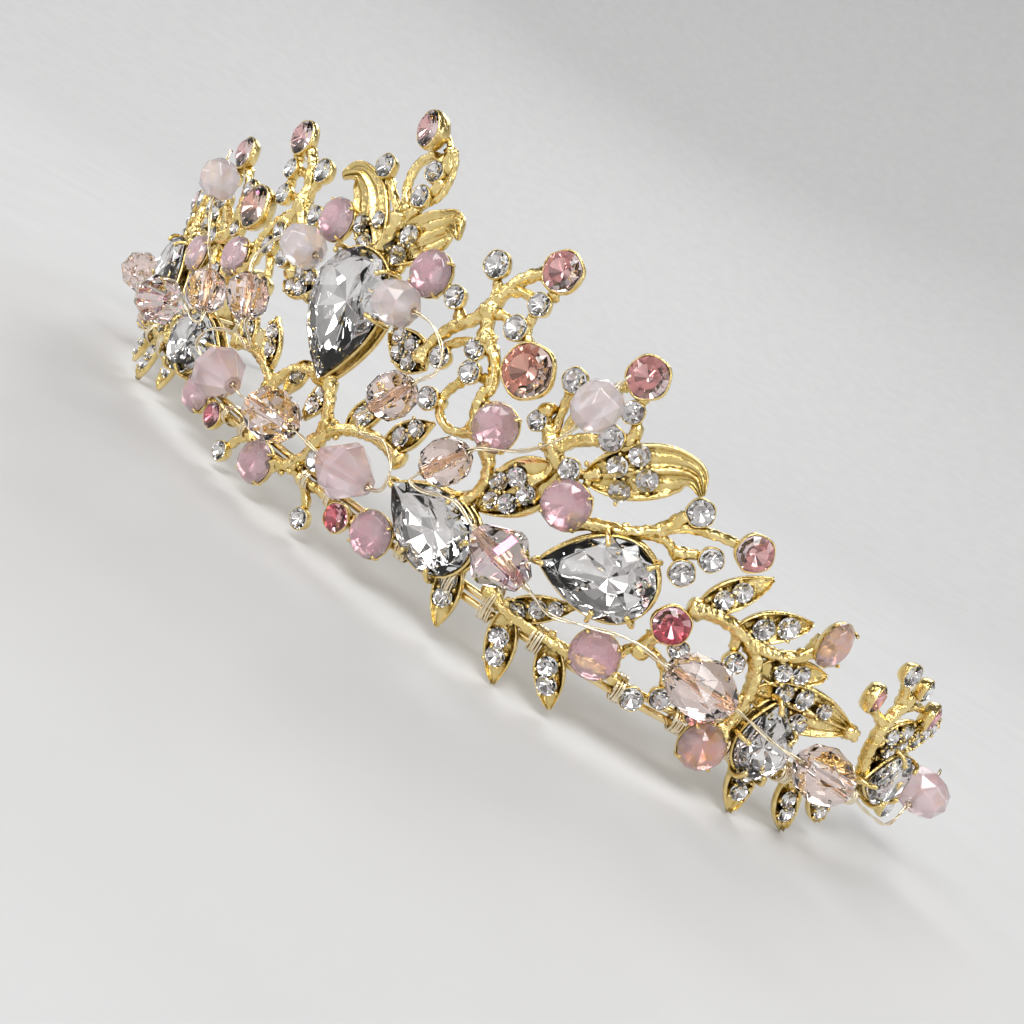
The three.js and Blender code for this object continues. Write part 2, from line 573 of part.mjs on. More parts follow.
// From the crown bead on one side, through the centre bead, to the crown bead on the other.
function innerWire() {
  const half = (side) => [
    ...freeWire([[4.7, 26.2, 5.6]], side),
    ...throughBead(SIDE_BEADS.crown, side),
    ...freeWire([[14.6, 26.6, 4.6], [17.4, 24.6, 4.4], [18.4, 22, 4.8]], side),
    ...throughBead(SIDE_BEADS.inner, side, true),
    ...freeWire([[11.4, 11.6, 4.4], [12.2, 10.4, 3.6], [16, 11.2, 3.8], [19.6, 9.4, 5.5]], side),
    ...freeWire([[20.2, 6.8, 5.8]], side),
    ...throughBead(SIDE_BEADS.rose, side, true),
  ];
  const route = [
    ...half(-1),
    ...freeWire([[-7, 5.1, 5.2]], 1),
    ...throughBead(CENTRE_BEAD, 1),
    ...freeWire([[7, 5.7, 5.2]], 1),
    ...half(1).reverse(),
  ];
  return tube(route, BEAD_WIRE_RADIUS, TWIG_SIDES, WIRE_STEP);
}

// From the high bead down and round to the end bead.
function outerWire(side) {
  const route = [
    ...freeWire([[38.9, 33, 5]], side),
    ...throughBead(SIDE_BEADS.high, side, true),
    ...freeWire([[35.4, 22.6, 4.8], [32.6, 19.6, 4.6], [29.4, 17.8, 4.8]], side),
    ...throughBead(SIDE_BEADS.lower, side, true),
    ...freeWire([[22.6, 9.4, 5.5], [24.4, 9.2, 5.8], [29, 10.4, 5.8]], side),
    ...throughBead(SIDE_BEADS.flank, side),
    ...freeWire([[44.4, 5.2, 5], [48, 6.2, 4.9], [53, 7.6, 5.1]], side),
    ...throughBead(SIDE_BEADS.outer, side),
    ...freeWire([[69, 5.8, 5.2], [72.4, 4.9, 5.6]], side),
    ...throughBead(SIDE_BEADS.side, side),
    ...freeWire([[88, 2, 5], [93, 0.4, 5.2], [98, -0.6, 5.2], [101, 0, 4.8]], side),
    ...throughBead(SIDE_BEADS.end, side),
    ...freeWire([[107.8, 8, 4.4]], side),
  ];
  return tube(route, BEAD_WIRE_RADIUS, TWIG_SIDES, WIRE_STEP);
}

// ---- Assembly ----
const group = new THREE.Group();

function addNode(name, geometry, look) {
  const mesh = new THREE.Mesh(geometry, LOOKS[look]);
  mesh.name = name;
  group.add(mesh);
}

addNode('lower_rail_wire', lowerRail(), 'railGold');
addNode('upper_rail_wire', railWire(RAIL_WIRE_PITCH, RAIL_RUN - UPPER_WIRE_STOP), 'railGold');
addNode('centre_spray', toGeometry(centreSpray()), 'gold');
addNode('inner_bead_wire', innerWire(), 'wireGold');
addNode('centre_pear_crystal', pearCrystal(CENTRE_PEAR, 1), 'crystal');
addNode('centre_opal', opal(CENTRE_OPAL, 1), 'opal');
addNode('centre_bead', bead(CENTRE_BEAD, 1), CENTRE_BEAD.look);

for (const [word, side] of Object.entries(SIDES)) {
  addNode(`inner_spray_${word}`, toGeometry(innerSpray(side)), 'gold');
  addNode(`middle_spray_${word}`, toGeometry(middleSpray(side)), 'gold');
  addNode(`rail_spray_${word}`, toGeometry(railSpray(side)), 'gold');
  addNode(`outer_spray_${word}`, toGeometry(outerSpray(side)), 'gold');
  addNode(`end_spray_${word}`, toGeometry(endSpray(side)), 'gold');
  addNode(`outer_bead_wire_${word}`, outerWire(side), 'wireGold');
  for (const [place, pear] of Object.entries(SIDE_PEARS)) {
    addNode(`${place}_pear_crystal_${word}`, pearCrystal(pear, side), 'crystal');
  }
  for (const [place, seat] of Object.entries(SIDE_OPALS)) {
    addNode(`${place}_opal_${word}`, opal(seat, side), 'opal');
  }
  for (const [place, threaded] of Object.entries(SIDE_BEADS)) {
    addNode(`${place}_bead_${word}`, bead(threaded, side), threaded.look);
  }
}

// The origin is under the middle of the tiara's plan, on the plane of its lowest leaf tips.
const extent = new THREE.Box3().setFromObject(group, true);
group.position.set(
  -(extent.min.x + extent.max.x) / 2, -(extent.min.y + extent.max.y) / 2, -extent.min.z);
group.updateMatrixWorld(true);

export default group;
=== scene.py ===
"""Bridal tiara: polished cast sprays, cut stones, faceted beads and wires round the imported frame.

Lengths are in millimetres up to the moment a mesh is made. A place on the tiara is (s, h, out): s along the
rail from the front centre, h above the lower rail wire, out in front of the rail's centre line.
"""
import math

import bmesh
import bpy
import numpy as np
from mathutils import Matrix, Vector


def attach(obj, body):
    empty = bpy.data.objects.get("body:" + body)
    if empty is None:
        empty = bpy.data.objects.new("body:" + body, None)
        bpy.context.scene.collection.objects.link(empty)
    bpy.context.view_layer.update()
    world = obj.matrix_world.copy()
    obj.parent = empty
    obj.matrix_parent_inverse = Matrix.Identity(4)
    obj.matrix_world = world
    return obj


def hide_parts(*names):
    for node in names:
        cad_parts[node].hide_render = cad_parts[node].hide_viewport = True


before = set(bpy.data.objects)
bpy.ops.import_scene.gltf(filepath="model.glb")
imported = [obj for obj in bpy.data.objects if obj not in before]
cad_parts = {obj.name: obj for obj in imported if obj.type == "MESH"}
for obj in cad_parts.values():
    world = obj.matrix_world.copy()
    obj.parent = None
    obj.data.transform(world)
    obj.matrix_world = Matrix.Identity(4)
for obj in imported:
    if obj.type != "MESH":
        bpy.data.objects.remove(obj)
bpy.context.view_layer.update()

# ---- Dimensions shared with the CAD model ----
FRONT_RADIUS = 137.7
FRONT_RUN = 39.6
SIDE_RADIUS = 57.5
RAIL_RUN = 109.0
LEAF_DROP = 7.0
ARCH_SHIFT = 111.684          # from the front arc's centre forward to the frame's origin
RAIL_WIRE_RADIUS = 0.5
RAIL_WIRE_PITCH = 1.3
TAB_LENGTH, TAB_HEIGHT, TAB_THICKNESS, TAB_LAP = 5.0, 4.0, 1.2, 0.5
TAB_HOLE_RADIUS, TAB_HOLE_OFFSET = 0.9, 1.1
BACK = 0.9                    # how far in front of the rail's centre line the castings lie
OPAL_RADIUS = 3.12
MAIN, TWIG = 0.68, 0.5        # radii of the castings' branches

# ---- Details that only this scene has ----
LEAF_THICKNESS = 1.1
LEAF_STONE_FIT = 1.14         # how much larger a leaf's stones are than its listed diameters
CUP_FLOOR = 0.8
PLATE_THICKNESS = 0.5         # under a pear crystal
BEAD_HOLE_RADIUS = 0.6
STRAND_RADIUS, STRAND_OFFSET, STRAND_TWIST = 0.12, 0.15, 0.55    # mm, mm, radians per mm
THREAD_RADIUS, THREAD_OFFSET = 0.1, 0.36      # the extra strands inside a bead
EDGE = 0.05                   # width of the polished edges between facets
DENT_SHARE = 3.0              # depth of the broad dents in the gold, against its fine grain
PAINTED_SHADE_REACH = 0.0013         # metres within which the gold looks for the sides of a hollow, to darken it with painted shade
FLOOR_FLAT, FLOOR_REACH = 1.0, 3.6        # metres
FLOOR_SLOPE, FLOOR_STEPS = math.radians(73), 28
STRIP_SPREAD = math.radians(90)           # keeps the strips' light off the floor beside them
SIDES = {"right": 1, "left": -1}

# Pear crystals: place (s, h), angle of the point, and length, width and depth of the stone.
PEARS = {
    "centre": {"at": (0.4, 21.8), "spin": -79, "size": (18.0, 13.0, 3.4)},
    "inner": {"at": (26.1, 5.7), "spin": 165, "size": (14.0, 10.0, 2.8)},
    "middle": {"at": (46.5, 11.5), "spin": 197, "size": (14.0, 10.0, 2.8)},
    "outer": {"at": (73.4, 3.8), "spin": 106, "size": (10.0, 7.6, 2.4), "claws": (64, 144, 194, 306)},
    "end": {"at": (96.3, 4.6), "spin": 190, "size": (10.0, 7.6, 2.4)},
}
CLAWS = (70, 125, 215, 290)    # angles of the claws round a crystal's wide end
# Opals: s, h and the angle that the stone is turned aside by.
OPALS = {
    "upper": (9.4, 31.8, 0), "shoulder": (27.4, 19.9, 0), "middle": (39.5, 16.6, 0), "rail": (19.9, 0.2, 0),
    "flank": (50.8, 3.3, 0), "outer": (67.0, -0.2, 0), "tip": (74.2, 17.9, 25),
}
FIERY_OPALS = ("outer", "tip")
CENTRE_OPAL = (-1.8, -1.7, 0)
# Beads: the two ends of the hole as (s, h, out), the bead's radius, its cut and its glass.
BEADS = {
    "crown": ((6.3, 26.4, 5.4), (12.1, 26.8, 5.4), 3.0, "round", "pale_pink"),
    "rose": ((9.8, 5.4, 4.9), (17.8, 5.6, 4.9), 3.9, "bicone", "rose_pink"),
    "inner": ((13.3, 14.2, 5.4), (16.7, 19.3, 5.4), 3.0, "round", "clear_peach"),
    "lower": ((23.5, 11.2, 5.2), (27.1, 16.1, 5.2), 3.0, "round", "clear_peach"),
    "flank": ((32.9, 8.9, 5.7), (40.5, 6.7, 5.7), 3.9, "bicone", "clear_pink"),
    "high": ((36.7, 25.4, 5.2), (38.3, 31.1, 5.2), 3.0, "round", "pale_pink"),
    "outer": ((57.8, 7.2, 5.7), (65.6, 6.6, 5.7), 3.8, "oval", "clear_peach"),
    "side": ((76.8, 4.3, 5.8), (84.2, 3.2, 5.8), 3.7, "oval", "clear_peach"),
    "end": ((103.0, 2.4, 4.6), (106.6, 6.6, 4.6), 3.7, "round", "rose_pink"),
}
CENTRE_BEAD = ((-4.2, 5.5, 5.3), (3.8, 5.9, 5.3), 3.8, "oval", "clear_peach")
# Coils that bind the castings to the rail: s, turns, lowest and highest h, and how far out they reach.
BINDINGS = (
    (6.5, 5, -0.8, 2.2, 2.6), (11.2, 4, -0.8, 2.1, 2.6), (16.8, 5, -0.8, 2.1, 2.3),
    (23.4, 6, -0.8, 2.2, 2.0), (31.2, 5, -0.8, 3.0, 2.4), (36.6, 6, -0.9, 4.0, 2.6),
    (43.6, 6, -0.8, 2.7, 2.6), (54.6, 5, -0.8, 2.7, 2.6), (62.6, 6, -0.8, 2.2, 2.0),
    (69.8, 5, -0.8, 2.3, 2.4), (78.4, 6, -0.8, 2.2, 2.4), (87.0, 5, -0.8, 2.1, 2.4),
    (92.2, 5, -0.8, 2.2, 2.4), (100.4, 5, -0.8, 2.6, 2.4),
)
COIL_BACK, COIL_PITCH = -0.8, 0.26


# ---- Materials ----
def new_material(name):
    material = bpy.data.materials.new(name)
    material.use_nodes = True
    tree = material.node_tree
    return material, tree, tree.nodes["Principled BSDF"]


def node(tree, kind, links=(), **values):
    """A shader node with its links, input values and settings."""
    made = tree.nodes.new(kind)
    for key, value in values.items():
        if key in made.inputs:
            made.inputs[key].default_value = value
        else:
            setattr(made, key, value)
    for source, socket in links:
        tree.links.new(source, made.inputs[socket])
    return made


def noise(tree, scale, detail=3.0, stretch=None):
    place = node(tree, "ShaderNodeTexCoord").outputs["Object"]
    if stretch:
        place = node(tree, "ShaderNodeMapping", [(place, "Vector")], Scale=stretch).outputs["Vector"]
    return node(tree, "ShaderNodeTexNoise", [(place, "Vector")], Scale=scale, Detail=detail)


def ramp(tree, factor, stops):
    made = node(tree, "ShaderNodeValToRGB", [(factor, "Fac")])
    elements = made.color_ramp.elements
    while len(elements) < len(stops):
        elements.new(0.5)
    for element, (position, colour) in zip(elements, stops):
        element.position = position
        element.color = (*colour, 1.0)
    return made


def bump(tree, height, strength, distance):
    return node(tree, "ShaderNodeBump", [(height, "Height")], Strength=strength, Distance=distance)


def gold(name, pale, deep, roughness, grain, depth, painted_shade=None):
    """Polished plate: pale and deep patches, fine grain of a given depth, and painted shade darkening its
    hollows if a shade colour is given.
    """
    material, tree, shader = new_material(name)
    fine = noise(tree, grain, 4.0)
    broad = noise(tree, 700.0, 2.0)
    socket = ramp(tree, broad.outputs["Fac"], [(0.36, deep), (0.6, pale)]).outputs["Color"]
    if painted_shade:
        # Painted shade: ambient occlusion blends the colour toward the given dark olive in hollows and
        # between parts.
        occlusion = node(tree, "ShaderNodeAmbientOcclusion", samples=6, Distance=PAINTED_SHADE_REACH)
        mask = ramp(tree, occlusion.outputs["AO"], [(0.22, (0, 0, 0)), (0.8, (1, 1, 1))])
        mixed = node(tree, "ShaderNodeMix", data_type="RGBA")
        tree.links.new(mask.outputs["Color"], mixed.inputs["Factor"])
        tree.links.new(socket, mixed.inputs[7])
        mixed.inputs[6].default_value = (*painted_shade, 1.0)
        socket = mixed.outputs[2]
    tree.links.new(socket, shader.inputs["Base Color"])
    worn, keen = (roughness * 1.7,) * 3, (roughness * 0.6,) * 3
    rough = ramp(tree, fine.outputs["Fac"], [(0.3, keen), (0.8, worn)])
    tree.links.new(rough.outputs["Color"], shader.inputs["Roughness"])
    dents = bump(tree, broad.outputs["Fac"], 0.6, depth * DENT_SHARE)
    relief = bump(tree, fine.outputs["Fac"], 0.7, depth)
    tree.links.new(dents.outputs["Normal"], relief.inputs["Normal"])
    tree.links.new(relief.outputs["Normal"], shader.inputs["Normal"])
    shader.inputs["Metallic"].default_value = 1.0
    return material


def foil(name, colour):
    material, tree, shader = new_material(name)
    # Painted reflection: the foil is up to 6% darker in random patches, standing in for dark and bright
    # surroundings mirrored in the facets.
    shade = noise(tree, 900.0, 2.0)
    tone = ramp(tree, shade.outputs["Fac"], [(0.3, tuple(0.94 * c for c in colour)), (0.7, colour)])
    tree.links.new(tone.outputs["Color"], shader.inputs["Base Color"])
    shader.inputs["Metallic"].default_value = 1.0
    shader.inputs["Roughness"].default_value = 0.02
    return material


def cut_glass(name, colour, index=1.56, film=0.0):
    """Clear cut glass. film is the thickness in nanometres of a rainbow coating."""
    material, tree, shader = new_material(name)
    shade = noise(tree, 350.0, 2.0)
    tone = ramp(tree, shade.outputs["Fac"], [(0.35, tuple(0.94 * c for c in colour)), (0.65, colour)])
    tree.links.new(tone.outputs["Color"], shader.inputs["Base Color"])
    shader.inputs["Transmission Weight"].default_value = 1.0
    shader.inputs["Roughness"].default_value = 0.0
    shader.inputs["IOR"].default_value = index
    if film:
        shader.inputs["Thin Film Thickness"].default_value = film
        shader.inputs["Thin Film IOR"].default_value = 1.9
    return material


def milky_glass(name, colour, cloud, clear, haze, fire=None):
    """Translucent glass: cloudy inside under a clear polished skin, with fire like an opal's if given."""
    material, tree, shader = new_material(name)
    drift = noise(tree, 420.0, 3.0)
    socket = ramp(tree, drift.outputs["Fac"], [(0.36, cloud), (0.64, colour)]).outputs["Color"]
    if fire:
        flecks = noise(tree, 520.0, 4.0, (1.0, 1.0, 1.8))
        mask = ramp(tree, flecks.outputs["Fac"], [(0.42, (0, 0, 0)), (0.6, (0.95,) * 3)])
        mixed = node(tree, "ShaderNodeMix", data_type="RGBA")
        tree.links.new(mask.outputs["Color"], mixed.inputs["Factor"])
        tree.links.new(socket, mixed.inputs[6])
        mixed.inputs[7].default_value = (*fire, 1.0)
        socket = mixed.outputs[2]
    tree.links.new(socket, shader.inputs["Base Color"])
    shader.inputs["Transmission Weight"].default_value = clear
    shader.inputs["Roughness"].default_value = haze
    shader.inputs["IOR"].default_value = 1.45
    shader.inputs["Subsurface Weight"].default_value = 0.35
    shader.inputs["Subsurface Radius"].default_value = (1.0, 0.5, 0.55)
    shader.inputs["Subsurface Scale"].default_value = 0.0012
    shader.inputs["Coat Weight"].default_value = 1.0
    shader.inputs["Coat IOR"].default_value = 1.6
    shader.inputs["Coat Roughness"].default_value = 0.015
    return material


MATERIALS = {
    # The last colour given to cast_gold and rail_gold is painted shade for their hollows.
    "cast_gold": gold("cast_gold", (0.95, 0.75, 0.35), (0.8, 0.6, 0.22),
                      0.1, 2300.0, 0.00013, (0.4, 0.29, 0.09)),
    "rail_gold": gold("rail_gold", (0.94, 0.76, 0.42), (0.87, 0.67, 0.33),
                      0.1, 1200.0, 0.00002, (0.36, 0.26, 0.09)),
    "wire_gold": gold("wire_gold", (0.955, 0.86, 0.67), (0.87, 0.745, 0.51),
                      0.16, 1800.0, 0.00001),
    "silver_foil": foil("silver_foil", (0.97, 0.945, 0.93)),
    "rose_foil": foil("rose_foil", (0.98, 0.86, 0.84)),
    "clear_crystal": cut_glass("clear_crystal", (0.985, 0.985, 0.99)),
    "pink_stone": cut_glass("pink_stone", (0.995, 0.8, 0.8)),
    "peach_stone": cut_glass("peach_stone", (0.98, 0.75, 0.67)),
    "rose_stone": cut_glass("rose_stone", (0.93, 0.5, 0.56)),
    "clear_peach": cut_glass("clear_peach", (0.98, 0.81, 0.76), 1.5),
    "clear_pink": cut_glass("clear_pink", (0.98, 0.78, 0.76), 1.5, film=420.0),
    "opal_glass": milky_glass("opal_glass", (0.96, 0.77, 0.8), (0.9, 0.64, 0.71), 0.8, 0.13),
    "opal_fire": milky_glass("opal_fire", (0.95, 0.74, 0.77), (0.9, 0.64, 0.7), 0.78, 0.16,
                             fire=(1.0, 0.64, 0.36)),
    "pale_pink": milky_glass("pale_pink", (0.98, 0.9, 0.91), (0.95, 0.84, 0.87), 0.66, 0.22),
    "rose_pink": milky_glass("rose_pink", (0.97, 0.8, 0.82), (0.94, 0.73, 0.77), 0.7, 0.18),
}
BEAD_SLOTS = {
    "pale_pink": "pale_pink_glass", "rose_pink": "rose_pink_glass",
    "clear_peach": "clear_peach_glass", "clear_pink": "clear_pink_glass",
}


# ---- Bending the flat layout round the head ----
def arch_frame(s):
    side = -1.0 if s < 0 else 1.0
    run = abs(s)
    front_angle = FRONT_RUN / FRONT_RADIUS
    if run <= FRONT_RUN:
        angle, radius = run / FRONT_RADIUS, FRONT_RADIUS
    else:
        angle, radius = front_angle + (run - FRONT_RUN) / SIDE_RADIUS, SIDE_RADIUS
    shift = FRONT_RADIUS - radius
    x = shift * math.sin(front_angle) + radius * math.sin(angle)
    y = -shift * math.cos(front_angle) - radius * math.cos(angle)
    origin = np.array([side * x, y + ARCH_SHIFT, LEAF_DROP])
    along = np.array([math.cos(angle), side * math.sin(angle), 0.0])
    outward = np.array([side * math.sin(angle), -math.cos(angle), 0.0])
    return origin, along, outward


def arch(s, h, out):
    origin, _, outward = arch_frame(s)
    return origin + outward * out + np.array([0.0, 0.0, h])


def placement(s, h, out, spin=0.0, turn=0.0, nod=0.0):
    """Matrix for a form with x along the rail, y up and z outward."""
    _, along, outward = arch_frame(s)
    base = Matrix((along, (0.0, 0.0, 1.0), outward)).transposed()
    turned = (Matrix.Rotation(math.radians(turn), 3, "Y") @ Matrix.Rotation(math.radians(nod), 3, "X")
              @ Matrix.Rotation(math.radians(spin), 3, "Z"))
    return Matrix.Translation(Vector(arch(s, h, out))) @ (base @ turned).to_4x4()


def pear_placement(pear, side, out):
    """Matrix of a pear crystal or its setting, mirrored on the left side."""
    s, h = pear["at"]
    spin = pear["spin"] if side > 0 else 180 - pear["spin"]
    return placement(side * s, h, out, spin=spin)


def smooth_line(points, step):
    """Centripetal Catmull-Rom curve through the points, sampled about every step."""
    points = [np.asarray(p, float) for p in points]
    points = [2 * points[0] - points[1], *points, 2 * points[-1] - points[-2]]
    line = []
    for a, b, c, d in zip(points, points[1:], points[2:], points[3:]):
        ta = 0.0
        tb = ta + max(np.linalg.norm(b - a), 1e-6) ** 0.5
        tc = tb + max(np.linalg.norm(c - b), 1e-6) ** 0.5
        td = tc + max(np.linalg.norm(d - c), 1e-6) ** 0.5
        count = max(1, int(round(np.linalg.norm(c - b) / step)))
        for i in range(count):
            t = tb + (tc - tb) * i / count
            ab = (a * (tb - t) + b * (t - ta)) / (tb - ta)
            bc = (b * (tc - t) + c * (t - tb)) / (tc - tb)
            cd = (c * (td - t) + d * (t - tc)) / (td - tc)
            abc = (ab * (tc - t) + bc * (t - ta)) / (tc - ta)
            bcd = (bc * (td - t) + cd * (t - tb)) / (td - tb)
            line.append((abc * (tc - t) + bcd * (t - tb)) / (tc - tb))
    line.append(points[-2])
    return np.array(line)


def travel_along(line):
    return np.concatenate([[0.0], np.cumsum(np.linalg.norm(np.diff(line, axis=0), axis=1))])


def along_line(line):
    """Tangents and carried-along side vectors of a line."""
    tangents = np.gradient(line, axis=0)
    tangents /= np.linalg.norm(tangents, axis=1)[:, None]
    first = np.cross(tangents[0], (0.0, 0.0, 1.0))
    if np.linalg.norm(first) < 0.1:
        first = np.cross(tangents[0], (1.0, 0.0, 0.0))
    sides = [first / np.linalg.norm(first)]
    for tangent in tangents[1:]:
        carried = sides[-1] - tangent * np.dot(sides[-1], tangent)
        sides.append(carried / np.linalg.norm(carried))
    return tangents, np.array(sides)


# ---- Forms: vertices and faces that become one mesh ----
class Form:
    def __init__(self, *looks):
        self.looks = list(looks)
        self.points = []
        self.faces = []
        self.kinds = []
        self.smooth = []
        self.count = 0

    def add(self, points, faces, look=None, smooth=True):
        if look is None:
            look = self.looks[0]
        if look not in self.looks:
            self.looks.append(look)
        self.points.append(np.asarray(points, float))
        start = self.count
        for face in faces:
            self.faces.append([start + i for i in face])
        self.kinds += [self.looks.index(look)] * len(faces)
        self.smooth += [smooth] * len(faces)
        self.count += len(points)

    def put(self, matrix, points, faces, look=None, smooth=True):
        block = np.array(matrix)
        points = np.asarray(points, float) @ block[:3, :3].T + block[:3, 3]
        self.add(points, faces, look, smooth)

    def build(self, name, body, slot, replaces=(), edge=0.0):
        mesh = bpy.data.meshes.new(name)
        mesh.from_pydata((np.concatenate(self.points) * 0.001).tolist(), [], self.faces)
        work = bmesh.new()
        work.from_mesh(mesh)
        bmesh.ops.recalc_face_normals(work, faces=work.faces)
        work.to_mesh(mesh)
        work.free()
        mesh.polygons.foreach_set("material_index", self.kinds)
        mesh.polygons.foreach_set("use_smooth", self.smooth)
        for look in self.looks:
            mesh.materials.append(MATERIALS[look])
        mesh.update()
        piece = bpy.data.objects.new(name, mesh)
        bpy.context.scene.collection.objects.link(piece)
        if edge:
            rounding = piece.modifiers.new("edges", "BEVEL")
            rounding.width = edge * 0.001
            rounding.limit_method = "ANGLE"
            rounding.angle_limit = math.radians(8)
        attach(piece, body)
        if replaces:
            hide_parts(*replaces)
        return piece


def ring_faces(rings, sides):
    """Faces of a stack of rings, closed at both ends."""
    faces = []
    for r in range(rings - 1):
        for i in range(sides):
            j = (i + 1) % sides
            faces.append((r * sides + i, r * sides + j, (r + 1) * sides + j, (r + 1) * sides + i))
    faces.append(tuple(reversed(range(sides))))
    faces.append(tuple(range((rings - 1) * sides, rings * sides)))
    return faces


def sweep(line, radii, sides=10, bark=0.0, seed=0):
    """A round bar along a line, with rounded ends. bark roughens it like a cast twig."""
    tangents, across = along_line(line)
    other = np.cross(tangents, across)
    travel = travel_along(line)
    random = np.random.RandomState(seed)
    phase = random.uniform(0, 2 * math.pi, 4)
    angles = np.arange(sides) * 2 * math.pi / sides
    blocks = []
    ends = [(0, -0.55, 0.5), (0, -0.3, 0.85)]
    last = len(line) - 1
    rows = [*ends, *((i, 0.0, 1.0) for i in range(last + 1)), (last, 0.3, 0.85), (last, 0.55, 0.5)]
    for i, push, shrink in rows:
        place = travel[i] + push * radii[i]
        factor = np.full(sides, shrink)
        if bark:
            wander = 0.5 * math.sin(0.9 * place + phase[3])
            creases = 1.7 * np.sqrt(np.abs(np.sin(2.5 * angles + 0.4 * place + phase[0] + wander))) - 1.2
            knots = 0.35 * np.sin(2 * angles - 3.3 * place + phase[1])
            knots += 0.35 * math.sin(5.2 * place + phase[2])
            factor = factor * (1 + bark * (creases + knots + 0.25 * random.uniform(-1, 1, sides)))
        radius = radii[i] * factor
        centre = line[i] + tangents[i] * push * radii[i]
        blocks.append(centre + across[i] * (radius * np.cos(angles))[:, None]
                      + other[i] * (radius * np.sin(angles))[:, None])
    return np.concatenate(blocks), ring_faces(len(rows), sides)


def ball(centre, radius, seed=0, rough=0.0):
    random = np.random.RandomState(seed)
    points, sides = [], 8
    for tilt in (-67, -35, 0, 35, 67):
        for i in range(sides):
            a, b = 2 * math.pi * i / sides, math.radians(tilt)
            r = radius * (1 + rough * random.uniform(-1, 1))
            points.append(np.asarray(centre) + r * np.array([
                math.cos(a) * math.cos(b), math.sin(a) * math.cos(b), math.sin(b)]))
    return points, ring_faces(5, sides)


def lathe(profile, sides, wobble=0.0, lobes=0, seed=0):
    """Solid of revolution about z from (radius, z) points, closed at both ends."""
    random = np.random.RandomState(seed)
    phase = random.uniform(0, 2 * math.pi)
    points = []
    for radius, z in profile:
        for i in range(sides):
            a = 2 * math.pi * i / sides
            r = radius * (1 + wobble * math.cos(lobes * a + phase)) if lobes else radius
            points.append((r * math.cos(a), r * math.sin(a), z))
    return points, ring_faces(len(profile), sides)


def zip_rings(low, high, n):
    """Triangles between two rings of n points, the second turned half a step."""
    faces = []
    for i in range(n):
        j = (i + 1) % n
        faces += [(low + i, low + j, high + i), (low + j, high + j, high + i)]
    return faces


def band(low, high, n):
    """Four-sided faces between two rings of n points."""
    return [(low + i, high + i, high + (i + 1) % n, low + (i + 1) % n) for i in range(n)]


def fan(low, tip, n):
    """Triangles from a ring of n points to one point."""
    return [(low + i, tip, low + (i + 1) % n) for i in range(n)]


def circle(r, z, n, shift=0):
    """n points on a ring, turned by half a step where shift is 1."""
    angles = [2 * math.pi * (i + shift / 2) / n for i in range(n)]
    return [(r * math.cos(a), r * math.sin(a), z) for a in angles]


def brilliant(radius, crown, depth, n):
    """A round stone: broad table, crown facets, girdle, one row of wedges behind, and its foil."""
    points = [*circle(radius * 0.6, crown, n), *circle(radius, 0.08, n, 1), *circle(radius, -0.08, n, 1),
              (0.0, 0.0, -depth)]
    faces = [tuple(range(n)), *zip_rings(0, n, n), *band(n, 2 * n, n), *fan(2 * n, 3 * n, n)]
    back = [*circle(radius, -0.13, n, 1), (0.0, 0.0, -depth - 0.06)]
    return points, faces, back, fan(0, n, n)


def fan_back(low, high, n):
    """Triangles between a ring turned half a step and the ring after it, which isn't."""
    faces = []
    for i in range(n):
        j = (i + 1) % n
        faces += [(low + i, high + j, high + i), (low + i, low + j, high + j)]
    return faces


def pear_outline(length, width, count, grow=1.0):
    """Corners of a pear outline with its point on +x, scaled about the middle of its round end."""
    radius = width / 2
    centre = radius - length / 2
    point = length / 2
    shoulder = centre + (point - centre) * 0.5
    dense = []
    for i in range(40):
        t = i / 40
        dense.append(((1 - t) ** 2 * point + 2 * t * (1 - t) * shoulder + t * t * centre,
                      2 * t * (1 - t) * radius + t * t * radius))
    for i in range(41):
        a = math.pi / 2 + math.pi / 2 * i / 40
        dense.append((centre + radius * math.cos(a), radius * math.sin(a)))
    dense = np.array(dense)
    travel = travel_along(dense)
    half = count // 2
    stops = np.linspace(0, travel[-1], half + 1)
    upper = np.stack([np.interp(stops, travel, dense[:, 0]), np.interp(stops, travel, dense[:, 1])], 1)
    lower = upper[1:-1][::-1] * (1, -1)
    outline = np.concatenate([upper, lower])
    return (outline - (centre, 0)) * grow + (centre, 0)


def girdle_out(depth):
    """How far out a pear crystal of this depth has its widest line."""
    return BACK + PLATE_THICKNESS + 0.35 + depth / 2


def pear_cut(size, seed, n=12):
    """A pear crystal: point on +x, table on +z, and its foil just behind. Its facets are a little uneven."""
    length, width, depth = size
    crown, belly = depth * 0.46, depth * 0.54
    random = np.random.RandomState(seed)

    def ring(grow, z, shift=0):
        outline = pear_outline(length, width, n, grow)
        if shift:
            outline = (outline + np.roll(outline, -1, axis=0)) / 2
        return [(x, y, z) for x, y in outline]

    def uneven(points, amount):
        return [(x, y, z + amount * random.uniform(-1, 1)) for x, y, z in points]

    keel = ((width - length) / 2 + length * 0.05, 0.0, -belly)
    pavilion = [*uneven(ring(0.74, -belly * 0.56, 1), belly * 0.24),
                *uneven(ring(0.34, -belly * 0.82), belly * 0.15), keel]
    points = [*ring(0.56, crown), *uneven(ring(0.8, crown * 0.72, 1), crown * 0.07), *ring(1.0, 0.14),
              *ring(1.0, -0.1), *pavilion]
    faces = [tuple(range(n)), *zip_rings(0, n, n), *fan_back(n, 2 * n, n), *zip_rings(3 * n, 4 * n, n),
             *fan_back(4 * n, 5 * n, n), *band(2 * n, 3 * n, n), *fan(5 * n, 6 * n, n)]
    back = [*ring(0.995, -0.17), *((x, y, z - 0.07) for x, y, z in pavilion)]
    return points, faces, back, [*zip_rings(0, n, n), *fan_back(n, 2 * n, n), *fan(2 * n, 3 * n, n)]


